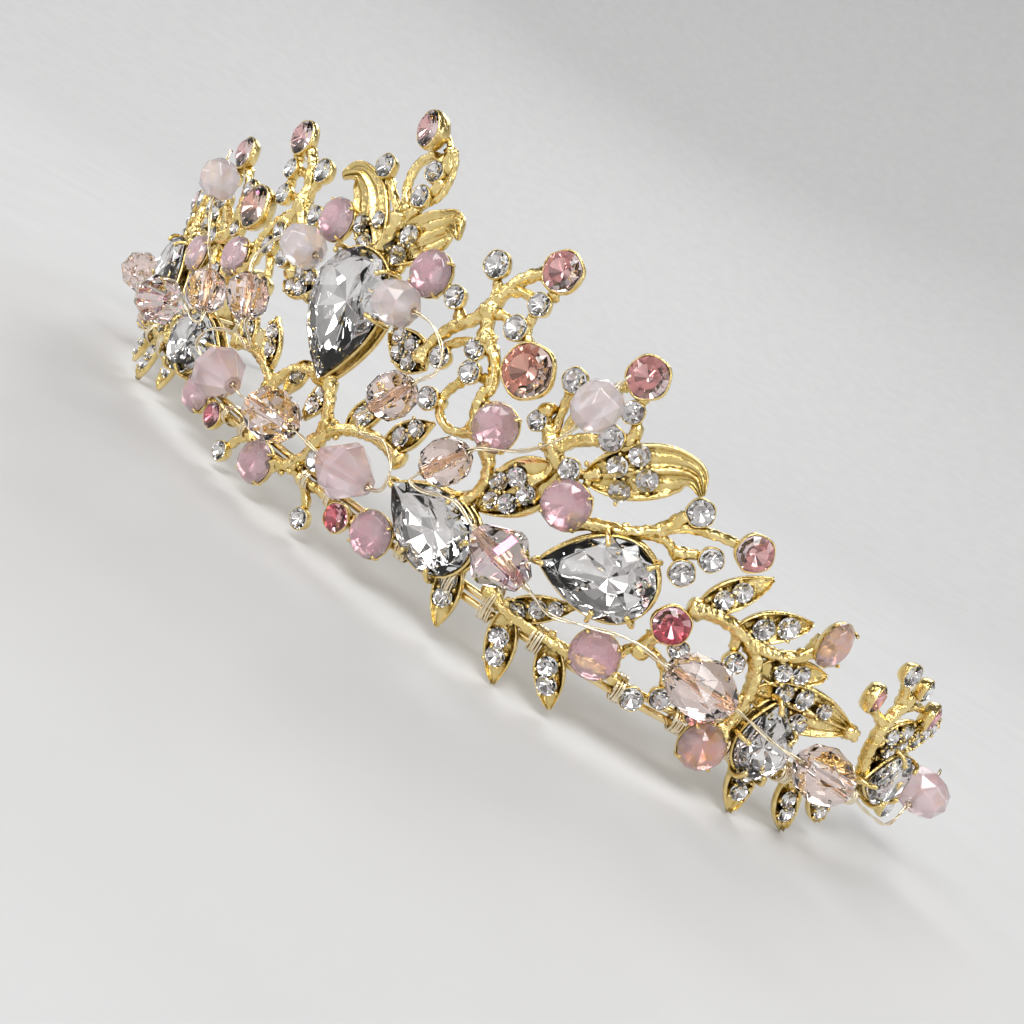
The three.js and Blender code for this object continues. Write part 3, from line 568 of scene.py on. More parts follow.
# ---- A spray: one casting with its stones ----
class Spray:
    def __init__(self, name, side):
        self.name, self.side = name, side
        self.metal = Form("cast_gold")
        self.clear = Form("clear_crystal", "silver_foil")
        self.tinted = Form("pink_stone", "rose_foil")
        self.seed = sum(ord(c) for c in name) * 7
        self.branches = []
        self.cups = []

    def fresh(self):
        self.seed += 1
        return self.seed

    def flat(self, point):
        return (self.side * point[0], *point[1:])

    def branch(self, points, radius=TWIG):
        route = []
        for point in points:
            s, h, *out = self.flat(point)
            route.append(arch(s, h, out[0] if out else BACK + radius))
        line = smooth_line(route, 0.3)
        travel = travel_along(line)
        radii = np.full(len(line), radius * 1.14)
        radii *= 1 + 0.55 * np.exp(-(np.minimum(travel, travel[-1] - travel) / 1.3) ** 2)
        self.branches.append((line, radii, self.fresh()))

    def duck_under_cups(self, line, radii):
        """Keeps a branch below the floor of each cup that it meets, so that no metal enters a stone."""
        for matrix, radius in self.cups:
            local = np.array(matrix.inverted())
            inside = line @ local[:3, :3].T + local[:3, 3]
            under = np.hypot(inside[:, 0], inside[:, 1]) < radius * 0.96
            radii[under] = np.minimum(radii[under], CUP_FLOOR / 2)
            lift = np.minimum(inside[:, 2], CUP_FLOOR / 2) - inside[:, 2]
            line[under] += lift[under, None] * np.array(matrix)[:3, 2]

    def leaf(self, path, width, stones=(), rib=False, veins=False, tail=0.0):
        """A leaf along a path of two or more places, with a raised rim and stones of (s, h, diameter)."""
        route = []
        for point in path:
            s, h, *out = self.flat(point)
            route.append(arch(s, h, out[0] if out else BACK))
        line = smooth_line(route, 0.4)
        tangents, _ = along_line(line)
        steps = len(line)
        middle = self.flat(path[0])[0] * 0.5 + self.flat(path[-1])[0] * 0.5
        _, _, outward = arch_frame(middle)
        ridge = 0.76 if rib else 0.42
        bowl = [(-1.0, 0.4), (-0.985, 0.8), (-0.93, 1.0), (-0.84, 0.98), (-0.76, 0.62),
                (-0.6, 0.42), (-0.45, 0.4), (-0.3, 0.4), (-0.16, 0.44), (-0.06, ridge)]
        edge = [*bowl, *((-v, z) for v, z in reversed(bowl)),
                (0.8, 0.08), (0.3, 0.0), (-0.3, 0.0), (-0.8, 0.08)]
        random = np.random.RandomState(self.fresh())
        blocks = []
        for i in range(steps):
            u = i / (steps - 1)
            half = width / 2 * max(math.sin(math.pi * min(1.0, u) ** 0.82), 0.0) ** 0.72
            half = max(half, 0.24, tail if u > 0.5 else 0.0)
            if tail and u > 0.93:
                half *= math.sqrt(max(1 - ((u - 0.93) / 0.08) ** 2, 0.12))
            normal = outward - tangents[i] * np.dot(outward, tangents[i])
            normal /= np.linalg.norm(normal)
            across = np.cross(normal, tangents[i])
            row = []
            for v, z in edge:
                height = z * LEAF_THICKNESS * (0.65 if half < 0.5 else 1.0)
                if veins and abs(v) < 0.9 and z > 0.1 and u > 0.3:
                    height += 0.3 * math.cos(13 * v) * min(1.0, (u - 0.3) * 4)
                height += random.uniform(-1, 1) * 0.045 * z
                row.append(line[i] + across * (v * half) + normal * height)
            blocks.append(row)
        points = np.concatenate(blocks)
        self.metal.add(points, [tuple(reversed(f)) for f in ring_faces(steps, len(edge))])
        for s, h, diameter in stones:
            self.pave(s, h, diameter * LEAF_STONE_FIT, BACK + LEAF_THICKNESS * 0.72)

    def stone(self, matrix, radius, look):
        count = 14 if radius > 1.7 else 10
        points, faces, back, foil_faces = brilliant(radius, radius * 0.3, radius * 0.42, count)
        form, glass, behind = {
            "clear": (self.clear, "clear_crystal", "silver_foil"),
            "pink": (self.tinted, "pink_stone", "rose_foil"),
            "peach": (self.tinted, "peach_stone", "rose_foil"),
            "rose": (self.tinted, "rose_stone", "rose_foil"),
        }[look]
        form.put(matrix, points, faces, glass, smooth=False)
        form.put(matrix, back, foil_faces, behind, smooth=False)

    def pave(self, s, h, diameter, out, look="clear"):
        """A small stone sunk in a leaf, held by four raised grains."""
        random = np.random.RandomState(self.fresh())
        tilt = random.uniform(-7, 7, 3)
        matrix = placement(self.side * s, h, out + 0.28, spin=tilt[2] * 9, turn=tilt[0], nod=tilt[1])
        radius = diameter / 2
        self.stone(matrix, radius * 0.94, look)
        for k in range(4):
            angle = math.radians(45 + 90 * k + tilt[2] * 4)
            x, y = (radius + 0.1) * math.cos(angle), (radius + 0.1) * math.sin(angle)
            self.metal.put(matrix, *ball((x, y, 0.0), 0.27, self.fresh(), 0.12))

    def cup(self, place, radius, look="clear", turn=0.0, nod=0.0, depth=1.6):
        """A round cup with a thin rolled rim, and the stone in it."""
        s, h, *out = self.flat(place)
        matrix = placement(s, h, out[0] if out else BACK, turn=self.side * turn, nod=nod)
        profile = [(0.02, 0.0), (radius * 0.5, 0.0), (radius * 0.78, 0.14), (radius * 0.95, depth * 0.3),
                   (radius * 1.03, depth * 0.62), (radius * 1.04, depth * 0.84), (radius, depth * 0.98),
                   (radius * 0.96, depth), (radius * 0.93, depth - 0.1), (radius * 0.92, depth - 0.5),
                   (radius * 0.6, 0.3), (0.02, 0.2)]
        self.metal.put(matrix, *lathe(profile, 28, 0.03, 5, self.fresh()))
        self.cups.append((matrix, radius))
        seat = matrix @ Matrix.Translation((0, 0, depth - 0.04)) @ Matrix.Rotation(self.seed * 0.7, 4, "Z")
        self.stone(seat, radius * 0.93, look)

    def seat(self, opal):
        """The scalloped cup of an opal, with four small claws. The opal itself is its own piece."""
        s, h, turn = opal
        matrix = placement(self.side * s, h, BACK, turn=self.side * turn)
        profile = [(0.02, 0.0), (1.5, 0.0), (2.4, 0.1), (2.9, 0.5), (3.1, 1.0), (3.16, 1.3), (3.1, 1.42),
                   (2.98, 1.38), (2.9, 1.0), (2.5, 0.7), (0.02, 0.6)]
        self.metal.put(matrix, *lathe(profile, 36, 0.02, 4, 3))
        for k in range(4):
            a = math.radians(45 + 90 * k)
            line = smooth_line([(r * math.cos(a), r * math.sin(a), z) for r, z in
                                ((3.05, 0.9), (3.16, 1.5), (3.06, 1.95), (2.86, 2.1))], 0.2)
            self.metal.put(matrix, *sweep(line, np.linspace(0.28, 0.2, len(line)), 8))

    def ring(self, place, radius):
        s, h = self.flat(place)
        line = [arch(s + radius * math.cos(a), h + radius * math.sin(a), BACK + TWIG)
                for a in np.linspace(0, 2 * math.pi, 30)]
        self.metal.add(*sweep(np.array(line), np.full(len(line), 0.45), 10, 0.1, seed=self.fresh()))

    def nuggets(self, s, h, spread, count):
        """Cast grains over a joint."""
        random = np.random.RandomState(self.fresh())
        for _ in range(count):
            ds, dh, do = random.uniform(-1, 1, 3) * (spread, spread, 0.35)
            centre = arch(self.side * s + ds, h + dh, BACK + 0.9 + do)
            self.metal.add(*ball(centre, random.uniform(0.3, 0.55), self.fresh(), 0.2))

    def setting(self, name):
        """Back plate, gallery wire and five claws of a pear crystal."""
        pear = PEARS[name]
        length, width, depth = pear["size"]
        matrix = pear_placement(pear, self.side, 0.0)
        plate = pear_outline(length - 0.5, width - 0.5, 40)
        points = [(x, y, z) for z in (BACK, BACK + PLATE_THICKNESS) for x, y in plate]
        self.metal.put(matrix, points, ring_faces(2, 40), smooth=False)
        girdle = girdle_out(depth)
        rim = np.array([(x, y, girdle - 0.55) for x, y in pear_outline(length, width, 72)])
        rim = np.concatenate([rim, rim[:2]])
        self.metal.put(matrix, *sweep(rim, np.full(len(rim), 0.24), 8))
        low = np.array([(x, y, BACK + 0.3) for x, y in pear_outline(length + 0.2, width + 0.2, 60)])
        low = np.concatenate([low, low[:2]])
        self.metal.put(matrix, *sweep(low, np.full(len(low), 0.33), 8, 0.08, seed=self.fresh()))
        radius = width / 2
        centre = radius - length / 2
        feet = [(length / 2, 0.0, 0.0)]
        feet += [(centre, radius, self.side * math.radians(a)) for a in pear.get("claws", CLAWS)]
        bends = ((-0.3, BACK + 0.2), (0.55, BACK + 0.7), (0.5, girdle + 0.3),
                 (-0.1, girdle + depth * 0.24 + 0.2), (-0.6, girdle + depth * 0.3 + 0.2))
        for x, reach, a in feet:
            line = smooth_line([(x + math.cos(a) * (reach + away), math.sin(a) * (reach + away), out)
                                for away, out in bends], 0.25)
            self.metal.put(matrix, *sweep(line, np.linspace(0.4, 0.3, len(line)), 10))
            self.metal.put(matrix, *ball(line[-1], 0.38, self.fresh(), 0.05))

    def build(self):
        for line, radii, seed in self.branches:
            self.duck_under_cups(line, radii)
            self.metal.add(*sweep(line, radii, 20, 0.2, seed=seed))
        self.metal.build(f"{self.name}_metal", "frame", "cast_gold", [self.name])
        if self.clear.count:
            self.clear.build(f"{self.name}_clear_stones", "frame", "clear_crystal")
        if self.tinted.count:
            self.tinted.build(f"{self.name}_pink_stones", "frame", "clear_pink_glass")


# ---- The castings ----
def centre_spray():
    spray = Spray("centre_spray", 1)
    spray.branch([(-1.4, 29.6), (0, 32), (0.5, 36)], 0.8)
    spray.setting("centre")
    # The crest: a stem with a chaton turned aside at its head, and an open loop beside it.
    spray.branch([(0.5, 35), (2.6, 39), (3.6, 43, 1.6), (2.6, 46.5, 2.2), (0.6, 48.3, 2.8)], MAIN)
    spray.branch([(0.4, 37), (-1.5, 40), (-1.6, 43), (0.2, 44.8, 1.5), (2.4, 44.6, 1.7)])
    spray.branch([(2.4, 38.5), (4.2, 41), (4.0, 44.5, 1.4), (3.2, 46.2, 2.0)], 0.4)
    spray.cup((0.6, 47.4, 2.2), 2.4, "pink", turn=-16, nod=8, depth=2.4)
    spray.cup((2.3, 43), 1.5)
    spray.cup((2.1, 39.5), 1.5)
    spray.branch([(0.3, 36), (-3, 38.2), (-5.9, 40.6)])
    spray.cup((-5.9, 40.9), 1.7)
    spray.leaf([(-0.6, 29.8), (-4.6, 34.2), (-7.8, 37.6), (-9.8, 38.6, 1.9), (-11.5, 37, 2.7)], 6.4,
               [(-3.0, 34.5, 2.1), (-5.5, 32.9, 2.5), (-3.4, 31.0, 2.4)], rib=True, veins=True, tail=0.75)
    spray.leaf([(0.2, 30), (3.8, 34.0), (7.2, 37.2), (9.4, 38.4, 1.9), (11.1, 37, 2.7)], 6.4,
               [(3.1, 34.5, 2.8), (0.5, 32.2, 2.2), (3.0, 31.7, 2.4)], rib=True, veins=True, tail=0.75)
    spray.ring((2.9, 30.6), 1.3)
    spray.nuggets(0.4, 34.6, 1.2, 9)
    # The fork below the crystal, round the centre bead, down to the centre opal.
    spray.branch([(2, 13.4), (3.8, 11.4), (5.3, 8), (5.2, 4), (3.2, 0.8), (0.4, -0.6)], MAIN)
    spray.branch([(1.6, 13.6), (-3.8, 11.8), (-6.7, 8), (-6.8, 4), (-5.6, 0.8), (-3.6, -0.6)], MAIN)
    spray.leaf([(3.4, 13.6), (1.4, 6.8)], 3.4, [(2.6, 11.2, 2.2), (2.1, 9.2, 2.2)])
    spray.leaf([(-2.2, 13.8), (-3.8, 8.0)], 3.2, [(-2.9, 11.2, 2.3)])
    spray.nuggets(3.6, 0.6, 1.6, 10)
    spray.seat(CENTRE_OPAL)
    for side in (1, -1):
        spray.side = side
        spray.branch([(5, 5), (6.8, 7.9), (9.8, 9.7), (14, 10.5), (18, 9.9)], MAIN)
        spray.nuggets(6.8, 8.2, 1.1, 8)
        spray.leaf([(8.7, 9.4), (12.5, 16.2)], 3.9, [(10.2, 12.0, 2.4), (11.4, 14.1, 2.1)])
        spray.leaf([(15, 10.2), (19.6, 16.2)], 3.9, [(16.6, 12.5, 2.4), (18.0, 14.5, 2.1)])
        spray.cup((7.2, 3.6), 1.6)
        spray.branch([(5.1, 3.4), (7, 3.4)])
        spray.branch([(2.6, 0.6), (5.6, 0.2), (8, -1.4), (9.2, -3.6)])
        spray.cup((9.3, -4), 1.5)
        spray.branch([(5.6, 0.2), (10, 0.4), (14.4, -0.4), (17, 0)])
        spray.cup((14.3, -0.8), 2.0, "rose")
        spray.seat(OPALS["rail"])
    spray.side = 1
    spray.build()


def inner_spray(word, side):
    spray = Spray(f"inner_spray_{word}", side)
    spray.setting("inner")
    spray.branch([(27.8, 9.7), (29.4, 12.6), (28.8, 15.4), (27.2, 17.4)], MAIN)
    spray.seat(OPALS["shoulder"])
    spray.branch([(25, 18.4), (23.6, 21.4), (24, 24), (22.4, 27), (20.4, 28.2)], MAIN)
    spray.branch([(25.2, 18), (22, 16.6), (19.8, 17.4), (19, 20), (20.8, 23.4)])
    spray.branch([(24, 24.2), (20.9, 24)])
    spray.branch([(19.4, 18.8), (17.6, 18.5)])
    spray.nuggets(24.2, 22.4, 1.2, 9)
    spray.nuggets(20.8, 28.2, 0.9, 6)
    for place, radius in (((17.6, 18.5), 1.5), ((20.9, 23.9), 1.5), ((20, 26.6), 1.4), ((16.3, 23.6), 1.5),
                          ((14.1, 30.8), 1.5), ((17.1, 36.6), 1.8), ((24.6, 34.9), 1.5), ((23.4, 31.2), 1.6)):
        spray.cup(place, radius)
    spray.branch([(20.4, 27.4), (17.6, 26.6), (15.4, 24.4), (13.4, 22)])
    spray.leaf([(14.8, 21.2), (7.4, 23.2)], 5.4,
               [(12.4, 20.9, 2.2), (11.6, 23.0, 2.1), (10.3, 21.3, 2.2), (9.4, 23.2, 1.9)], rib=True)
    spray.branch([(13.4, 22), (14, 24.6), (15.4, 27.4), (17.4, 29.4), (18.8, 31.4)], MAIN)
    spray.branch([(20.4, 28), (18.8, 31.4)], MAIN)
    spray.branch([(16, 28.4), (14.2, 30.6), (12, 31.2)])
    spray.seat(OPALS["upper"])
    spray.branch([(18.8, 31.4), (18.4, 33.8), (17.2, 36.4)])
    spray.branch([(18.8, 31.4), (19.8, 34.8), (21.6, 37.4), (24.4, 39.2)], MAIN)
    spray.cup((25.2, 39.5), 2.6, "pink", depth=1.8)
    spray.branch([(19.8, 34.8), (22, 35.3), (24.6, 34.9)])
    spray.branch([(24.6, 34.9), (25.6, 37.4)])
    spray.branch([(18.8, 31.4), (21, 31.7), (23.4, 31.2)])
    spray.branch([(24.4, 34.6), (24.2, 33), (25, 31), (26.4, 29.6)])
    spray.nuggets(18.9, 31.6, 0.9, 7)
    spray.cup((27.7, 27.6), 3.4, "peach", depth=2.4)
    spray.leaf([(31, 3.8), (33.1, -4.8)], 4.0, [(31.6, 1.1, 2.4), (32.1, -1.1, 2.3)])
    spray.build()


def middle_spray(word, side):
    spray = Spray(f"middle_spray_{word}", side)
    hub = (34.6, 21.4)
    spray.branch([hub, (33, 23), (31.6, 25)], MAIN)
    spray.branch([(33.8, 22.4), (33.2, 26), (33, 29.2)])
    spray.branch([hub, (36.6, 23.6), (40, 25.6), (42, 27), (41.2, 30), (40.4, 32.4)], MAIN)
    spray.branch([(35.4, 22), (34.8, 25), (36.6, 30), (39, 32.4)])
    for place, radius in (((31.5, 23.2), 1.3), ((33, 29.4), 1.6), ((40.1, 25.8), 1.6), ((40.7, 29.6), 1.4),
                          ((37.7, 20.3), 1.4), ((52.6, 23.7), 1.7), ((54.3, 16.7), 1.6), ((56.3, 19.7), 1.5)):
        spray.cup(place, radius)
    spray.cup((40.2, 33.8), 2.6, "pink", depth=1.8)
    spray.branch([hub, (36, 20.2), (38, 19.4)], MAIN)
    spray.nuggets(34.8, 21.8, 1.6, 14)
    spray.nuggets(39.4, 20.9, 1.1, 10)
    spray.seat(OPALS["middle"])
    spray.leaf([(36.4, 19.6), (30.0, 10.2)], 7.0,
               [(32.6, 16.2, 2.3), (30.9, 14.6, 2.2), (34.6, 15.0, 2.4), (33.2, 12.9, 2.3),
                (31.2, 12.2, 2.0)], rib=True)
    spray.branch([hub, (35.6, 18.8), (34.4, 16.6)])
    # The large leaf with a curled tip.
    spray.branch([(37.8, 20.4), (39.4, 20.6), (40.8, 21.5)])
    spray.leaf([(39.4, 20.3), (44.4, 24.0), (48.2, 26.4), (50.2, 26.8, 1.7), (51.8, 25.4, 2.5)], 6.7,
               [(43.7, 25.8, 2.45), (42.2, 23.4, 2.45), (45.8, 23.8, 2.5), (43.8, 21.1, 2.45)],
               rib=True, veins=True, tail=0.8)
    # The branch over the middle crystal.
    spray.setting("middle")
    spray.branch([(41, 15.4), (44.4, 16.6), (47.4, 17.8), (49.8, 19.6), (51.6, 22.6), (52.6, 23.6)], MAIN)
    spray.branch([(46, 17.2), (46.2, 15.9)], MAIN)
    spray.branch([(49.8, 19.6), (52.4, 21.4), (56, 22.4), (59.6, 22.8)])
    spray.cup((60, 22.8), 2.3, "pink", depth=1.8)
    spray.branch([(48.6, 18.6), (51.4, 18.8), (54.2, 16.9)])
    spray.branch([(52.6, 18.2), (54.6, 19.2), (56.2, 19.7)])
    spray.nuggets(46.8, 17.4, 0.8, 6)
    spray.build()


def rail_spray(word, side):
    spray = Spray(f"rail_spray_{word}", side)
    spray.branch([(36.4, 3), (39.6, 2), (43, 1.7), (47.4, 1.7), (52, 2.2), (56.8, 1.2)], MAIN)
    spray.nuggets(40.2, 2.2, 1.1, 9)
    spray.nuggets(46, 1.9, 0.8, 6)
    spray.leaf([(38.8, 1.5), (46.4, 6.7)], 3.6, [(40.8, 2.9, 2.1), (42.7, 4.2, 2.2), (44.5, 5.4, 1.8)])
    spray.leaf([(39.6, 2.2), (42.6, -6.7)], 4.2, [(40.5, -1.2, 2.4), (41.2, -3.4, 2.4)])
    spray.leaf([(45.6, 1.8), (49.8, -5.6)], 4.0, [(47.0, -1.0, 2.4), (48.0, -3.0, 2.4)])
    spray.seat(OPALS["flank"])
    spray.cup((56.9, 0.9), 1.5)
    spray.branch([(53.4, 2), (53.4, 5), (55, 6.8), (58, 6.2), (59.6, 4), (59.7, 2.6)])
    spray.cup((59.7, 2.6), 1.4)
    spray.branch([(55, 6), (55.6, 9.6)], MAIN)
    spray.cup((56.3, 10.9), 2.4, "rose", depth=2.0)
    spray.branch([(56.4, 9.6), (58.6, 8.6)])
    spray.cup((58.6, 8.7), 1.3, depth=1.3)
    spray.build()


def outer_spray(word, side):
    spray = Spray(f"outer_spray_{word}", side)
    spray.branch([(57.6, 13.8), (60, 14.3), (63.4, 14.1), (66.6, 12.4), (68.4, 9.4), (68.9, 5.6),
                  (68.4, 2)], 0.75)
    spray.leaf([(58.0, 13.9), (63.9, 21.3)], 4.0, [(60.0, 16.4, 2.2), (61.4, 18.2, 2.3)])
    spray.leaf([(63, 13.8), (71.2, 18.9)], 4.2, [(65.9, 15.6, 2.6), (68.4, 17.1, 2.6)])
    spray.branch([(65.6, 13.2), (70, 13.8), (72.6, 15.6), (73.4, 17.4)], MAIN)
    spray.seat(OPALS["tip"])
    spray.leaf([(67.8, 11.1), (77.0, 14.0)], 4.2, [(71.0, 12.1, 2.1), (73.2, 12.8, 2.2)])
    spray.leaf([(68.6, 8.4), (78, 9.0), (85.2, 9.0)], 6.4,
               [(72.6, 9.9, 2.3), (75.5, 10.3, 2.5), (73.6, 7.3, 2.3), (76.5, 7.2, 2.5), (79.0, 9.9, 2.0)],
               rib=True, veins=True)
    spray.branch([(84.4, 8.8), (85.6, 8.8)], 0.6)
    spray.branch([(63.6, 14), (64.6, 10.8)])
    spray.cup((64.8, 10.5), 1.4)
    spray.seat(OPALS["outer"])
    spray.cup((64.4, 3), 1.6, "pink")
    spray.pave(66.3, 3.5, 1.8, BACK + 0.8, "pink")
    spray.branch([(64.4, 3), (66, 2)])
    spray.nuggets(68.6, 7.4, 0.7, 6)
    spray.setting("outer")
    spray.branch([(68.8, 4.4), (71, 4.2)])
    spray.leaf([(73.4, 1.4), (75.7, -6.8)], 4.2, [(74.2, -1.5, 2.3), (74.9, -3.6, 2.2)])
    spray.branch([(75, 0.8), (79, 0.4), (84, 0.6), (88, 0.6)])
    spray.leaf([(80.4, 0.8), (84.9, -6.8)], 4.2, [(82.2, -2.2, 2.3), (83.3, -4.1, 2.3)])
    spray.leaf([(85.4, 1), (90.4, -4.4)], 3.8, [(87.4, -1.1, 2.3), (88.8, -2.6, 1.9)])
    spray.build()


def end_spray(word, side):
    spray = Spray(f"end_spray_{word}", side)
    spray.setting("end")
    spray.branch([(92.6, 3.6), (90.4, 7), (90, 11), (91, 14.6), (92.2, 17.4)], MAIN)
    spray.cup((92.3, 17.6), 1.6, turn=20)
    spray.branch([(91, 14.6), (89.4, 17), (88.2, 18.6)])
    spray.cup((88, 18.7), 1.6)
    spray.branch([(90, 11.4), (87, 12.4), (84.4, 13.8)])
    spray.cup((83.9, 14.2), 2, "rose", turn=30, depth=1.9)
    spray.leaf([(90.0, 7.2), (99.4, 12.7)], 6.0,
               [(93.0, 10.2, 2.3), (94.0, 8.2, 2.2), (95.4, 11.4, 2.3), (96.2, 9.6, 2.0)], rib=True)
    spray.branch([(91, 14), (94.4, 15), (97.4, 14.6)])
    spray.cup((97.6, 14.5), 2, "rose", turn=20, depth=1.8)
    spray.leaf([(95.6, 8.6), (104.6, 14.3)], 4.8, [(98.8, 10.7, 2.2), (100.7, 11.9, 2.1), (102.2, 12.9, 1.7)])
    spray.branch([(99, 4.6), (102, 1.4), (103.8, 0.2)])
    spray.cup((103.8, 0), 1.6)
    spray.nuggets(90.6, 9, 0.8, 8)
    spray.build()


# ---- Stones and beads ----
def pear_crystal(name, node_name, side):
    pear = PEARS[name]
    matrix = pear_placement(pear, side, girdle_out(pear["size"][2]))
    points, faces, back, foil_faces = pear_cut(pear["size"], int(pear["at"][0]) + side)
    form = Form("clear_crystal", "silver_foil")
    form.put(matrix, points, faces, "clear_crystal", smooth=False)
    form.put(matrix, back, foil_faces, "silver_foil", smooth=False)
    form.build(f"{node_name}_cut", "frame", "clear_crystal", [node_name])


def opal_stone(opal, node_name, side, look="opal_glass", n=12):
    """A milky stone a little wider than its cup: table, two rows of facets, wedges behind, and its foil."""
    s, h, turn = opal
    matrix = placement(side * s, h, BACK + 1.62, turn=side * turn) @ Matrix.Rotation(0.7 * s, 4, "Z")
    rings = ((0.5, 1.3, 0), (0.82, 0.86, 1), (1.0, 0.2, 0), (1.0, -0.04, 0))
    points = [p for share, z, shift in rings for p in circle(OPAL_RADIUS * share, z, n, shift)]
    points.append((0.0, 0.0, -0.75))
    faces = [tuple(range(n)), *zip_rings(0, n, n), *fan_back(n, 2 * n, n), *band(2 * n, 3 * n, n),
             *fan(3 * n, 4 * n, n)]
    back = [*circle(OPAL_RADIUS * 0.995, -0.09, n), (0.0, 0.0, -0.8)]
    form = Form(look, "rose_foil")
    form.put(matrix, points, faces, look, smooth=False)
    form.put(matrix, back, fan(0, n, n), "rose_foil", smooth=False)
    form.build(f"{node_name}_cut", "frame", "opal_glass", [node_name], EDGE)


BEAD_RINGS = {
    "round": ((0.42, 1.0, 0), (0.86, 0.62, 1), (1.0, 0.0, 0), (0.86, -0.62, 1), (0.42, -1.0, 0)),
    "oval": ((0.4, 1.0, 0), (0.84, 0.56, 1), (1.0, 0.0, 0), (0.84, -0.56, 1), (0.4, -1.0, 0)),
    "bicone": ((0.34, 1.0, 0), (1.0, 0.13, 0), (1.0, -0.13, 0), (0.34, -1.0, 0)),
}


def bead(spec, node_name, side):
    """A bead with a hole: rings of facets outside, and the bore as the last two rings."""
    start, end, radius, cut, look = spec
    a, b = (arch(side * p[0], p[1], p[2]) for p in (start, end))
    half = np.linalg.norm(b - a) / 2
    turn = Vector((0, 0, 1)).rotation_difference(Vector(b - a)).to_matrix().to_4x4()
    matrix = Matrix.Translation(Vector((a + b) / 2)) @ turn
    rings = BEAD_RINGS[cut]
    n = 10 if cut == "round" else 8
    hole = BEAD_HOLE_RADIUS / radius
    points, faces = [], []
    for share, z, shift in [*rings, (hole, -1.0, 0), (hole, 1.0, 0)]:
        points += circle(radius * share, z * half, n, shift)
    for k in range(len(rings) - 1):
        low, high = k * n, (k + 1) * n
        if rings[k][2] == rings[k + 1][2]:
            faces += band(low, high, n)
        elif rings[k + 1][2]:
            faces += zip_rings(low, high, n)
        else:
            faces += fan_back(low, high, n)
    last = (len(rings) - 1) * n
    for low, high in ((last, last + n), (last + n, last + 2 * n), (last + 2 * n, 0)):
        faces += band(low, high, n)
    form = Form(look)
    form.put(matrix, points, faces, look, smooth=False)
    form.build(f"{node_name}_cut", node_name, BEAD_SLOTS[look], [node_name], EDGE)


# ---- Wires ----
def through(spec, side, backwards=False):
    """The stretch of wire that runs straight through a bead."""
    ends = [arch(side * p[0], p[1], p[2]) for p in spec[:2]]
    if backwards:
        ends.reverse()
    spare = 0.8 / np.linalg.norm(ends[1] - ends[0])
    return [ends[0] + (ends[1] - ends[0]) * t for t in (-spare, 0.3, 0.7, 1 + spare)]


def free(points, side):
    """A stretch of wire between beads."""
    return [arch(side * s, h, out) for s, h, out in points]


def strand_bundle(form, route, threaded, seed):
    """Two twisted strands along the whole route, and more of them inside each bead."""
    line = smooth_line(route, 0.5)
    tangents, across = along_line(line)
    other = np.cross(tangents, across)
    travel = travel_along(line)
    for k in range(2):
        turn = travel * STRAND_TWIST + math.pi * k
        strand = line + STRAND_OFFSET * (across * np.cos(turn)[:, None] + other * np.sin(turn)[:, None])
        form.add(*sweep(strand, np.full(len(strand), STRAND_RADIUS), 6))
    random = np.random.RandomState(seed)
    for spec, side in threaded:
        a, b = (arch(side * p[0], p[1], p[2]) for p in spec[:2])
        axis = (b - a) / np.linalg.norm(b - a)
        wide = np.cross(axis, (0.2, 0.3, 1.0))
        wide /= np.linalg.norm(wide)
        deep = np.cross(axis, wide)
        for k in range(5):
            angle = 2 * math.pi * k / 5 + random.uniform(-0.2, 0.2)
            offset = THREAD_OFFSET * (wide * math.cos(angle) + deep * math.sin(angle))
            reach = random.uniform(0.2, 0.9)
            strand = np.array([a - axis * reach + offset * 0.6, a + offset, (a + b) / 2 + offset, b + offset,
                               b + axis * reach + offset * 0.6])
            form.add(*sweep(strand, np.full(len(strand), THREAD_RADIUS), 6))


def inner_wire():
    def half(side):
        return [
            *free([(4.7, 26.2, 5.6)], side), *through(BEADS["crown"], side),
            *free([(14.6, 26.6, 4.6), (17.4, 24.6, 4.4), (18.4, 22, 4.8)], side),
            *through(BEADS["inner"], side, True),
            *free([(11.4, 11.6, 4.4), (12.2, 10.4, 3.6), (16, 11.2, 3.8), (19.6, 9.4, 5.5),
                   (20.2, 6.8, 5.8)], side),
            *through(BEADS["rose"], side, True)]

    route = [*half(-1), *free([(-7, 5.1, 5.2)], 1), *through(CENTRE_BEAD, 1),
             *free([(7, 5.7, 5.2)], 1), *reversed(half(1))]
    form = Form("wire_gold")
    threaded = [(CENTRE_BEAD, 1)] + [(BEADS[k], side) for k in ("crown", "inner", "rose") for side in (1, -1)]
    strand_bundle(form, route, threaded, 5)
    form.build("inner_bead_wire_strands", "frame", "wire_gold", ["inner_bead_wire"])


def outer_wire(word, side):
    route = [
        *free([(38.9, 33, 5)], side), *through(BEADS["high"], side, True),
        *free([(35.4, 22.6, 4.8), (32.6, 19.6, 4.6), (29.4, 17.8, 4.8)], side),
        *through(BEADS["lower"], side, True),
        *free([(22.6, 9.4, 5.5), (24.4, 9.2, 5.8), (29, 10.4, 5.8)], side), *through(BEADS["flank"], side),
        *free([(44.4, 5.2, 5), (48, 6.2, 4.9), (53, 7.6, 5.1)], side), *through(BEADS["outer"], side),
        *free([(69, 5.8, 5.2), (72.4, 4.9, 5.6)], side), *through(BEADS["side"], side),
        *free([(88, 2, 5), (93, 0.4, 5.2), (98, -0.6, 5.2), (101, 0, 4.8)], side),
        *through(BEADS["end"], side),
        *free([(107.8, 8, 4.4)], side)]
    form = Form("wire_gold")
    names = ("high", "lower", "flank", "outer", "side", "end")
    strand_bundle(form, route, [(BEADS[k], side) for k in names], 9)
    form.build(f"outer_bead_wire_{word}_strands", "frame", "wire_gold", [f"outer_bead_wire_{word}"])


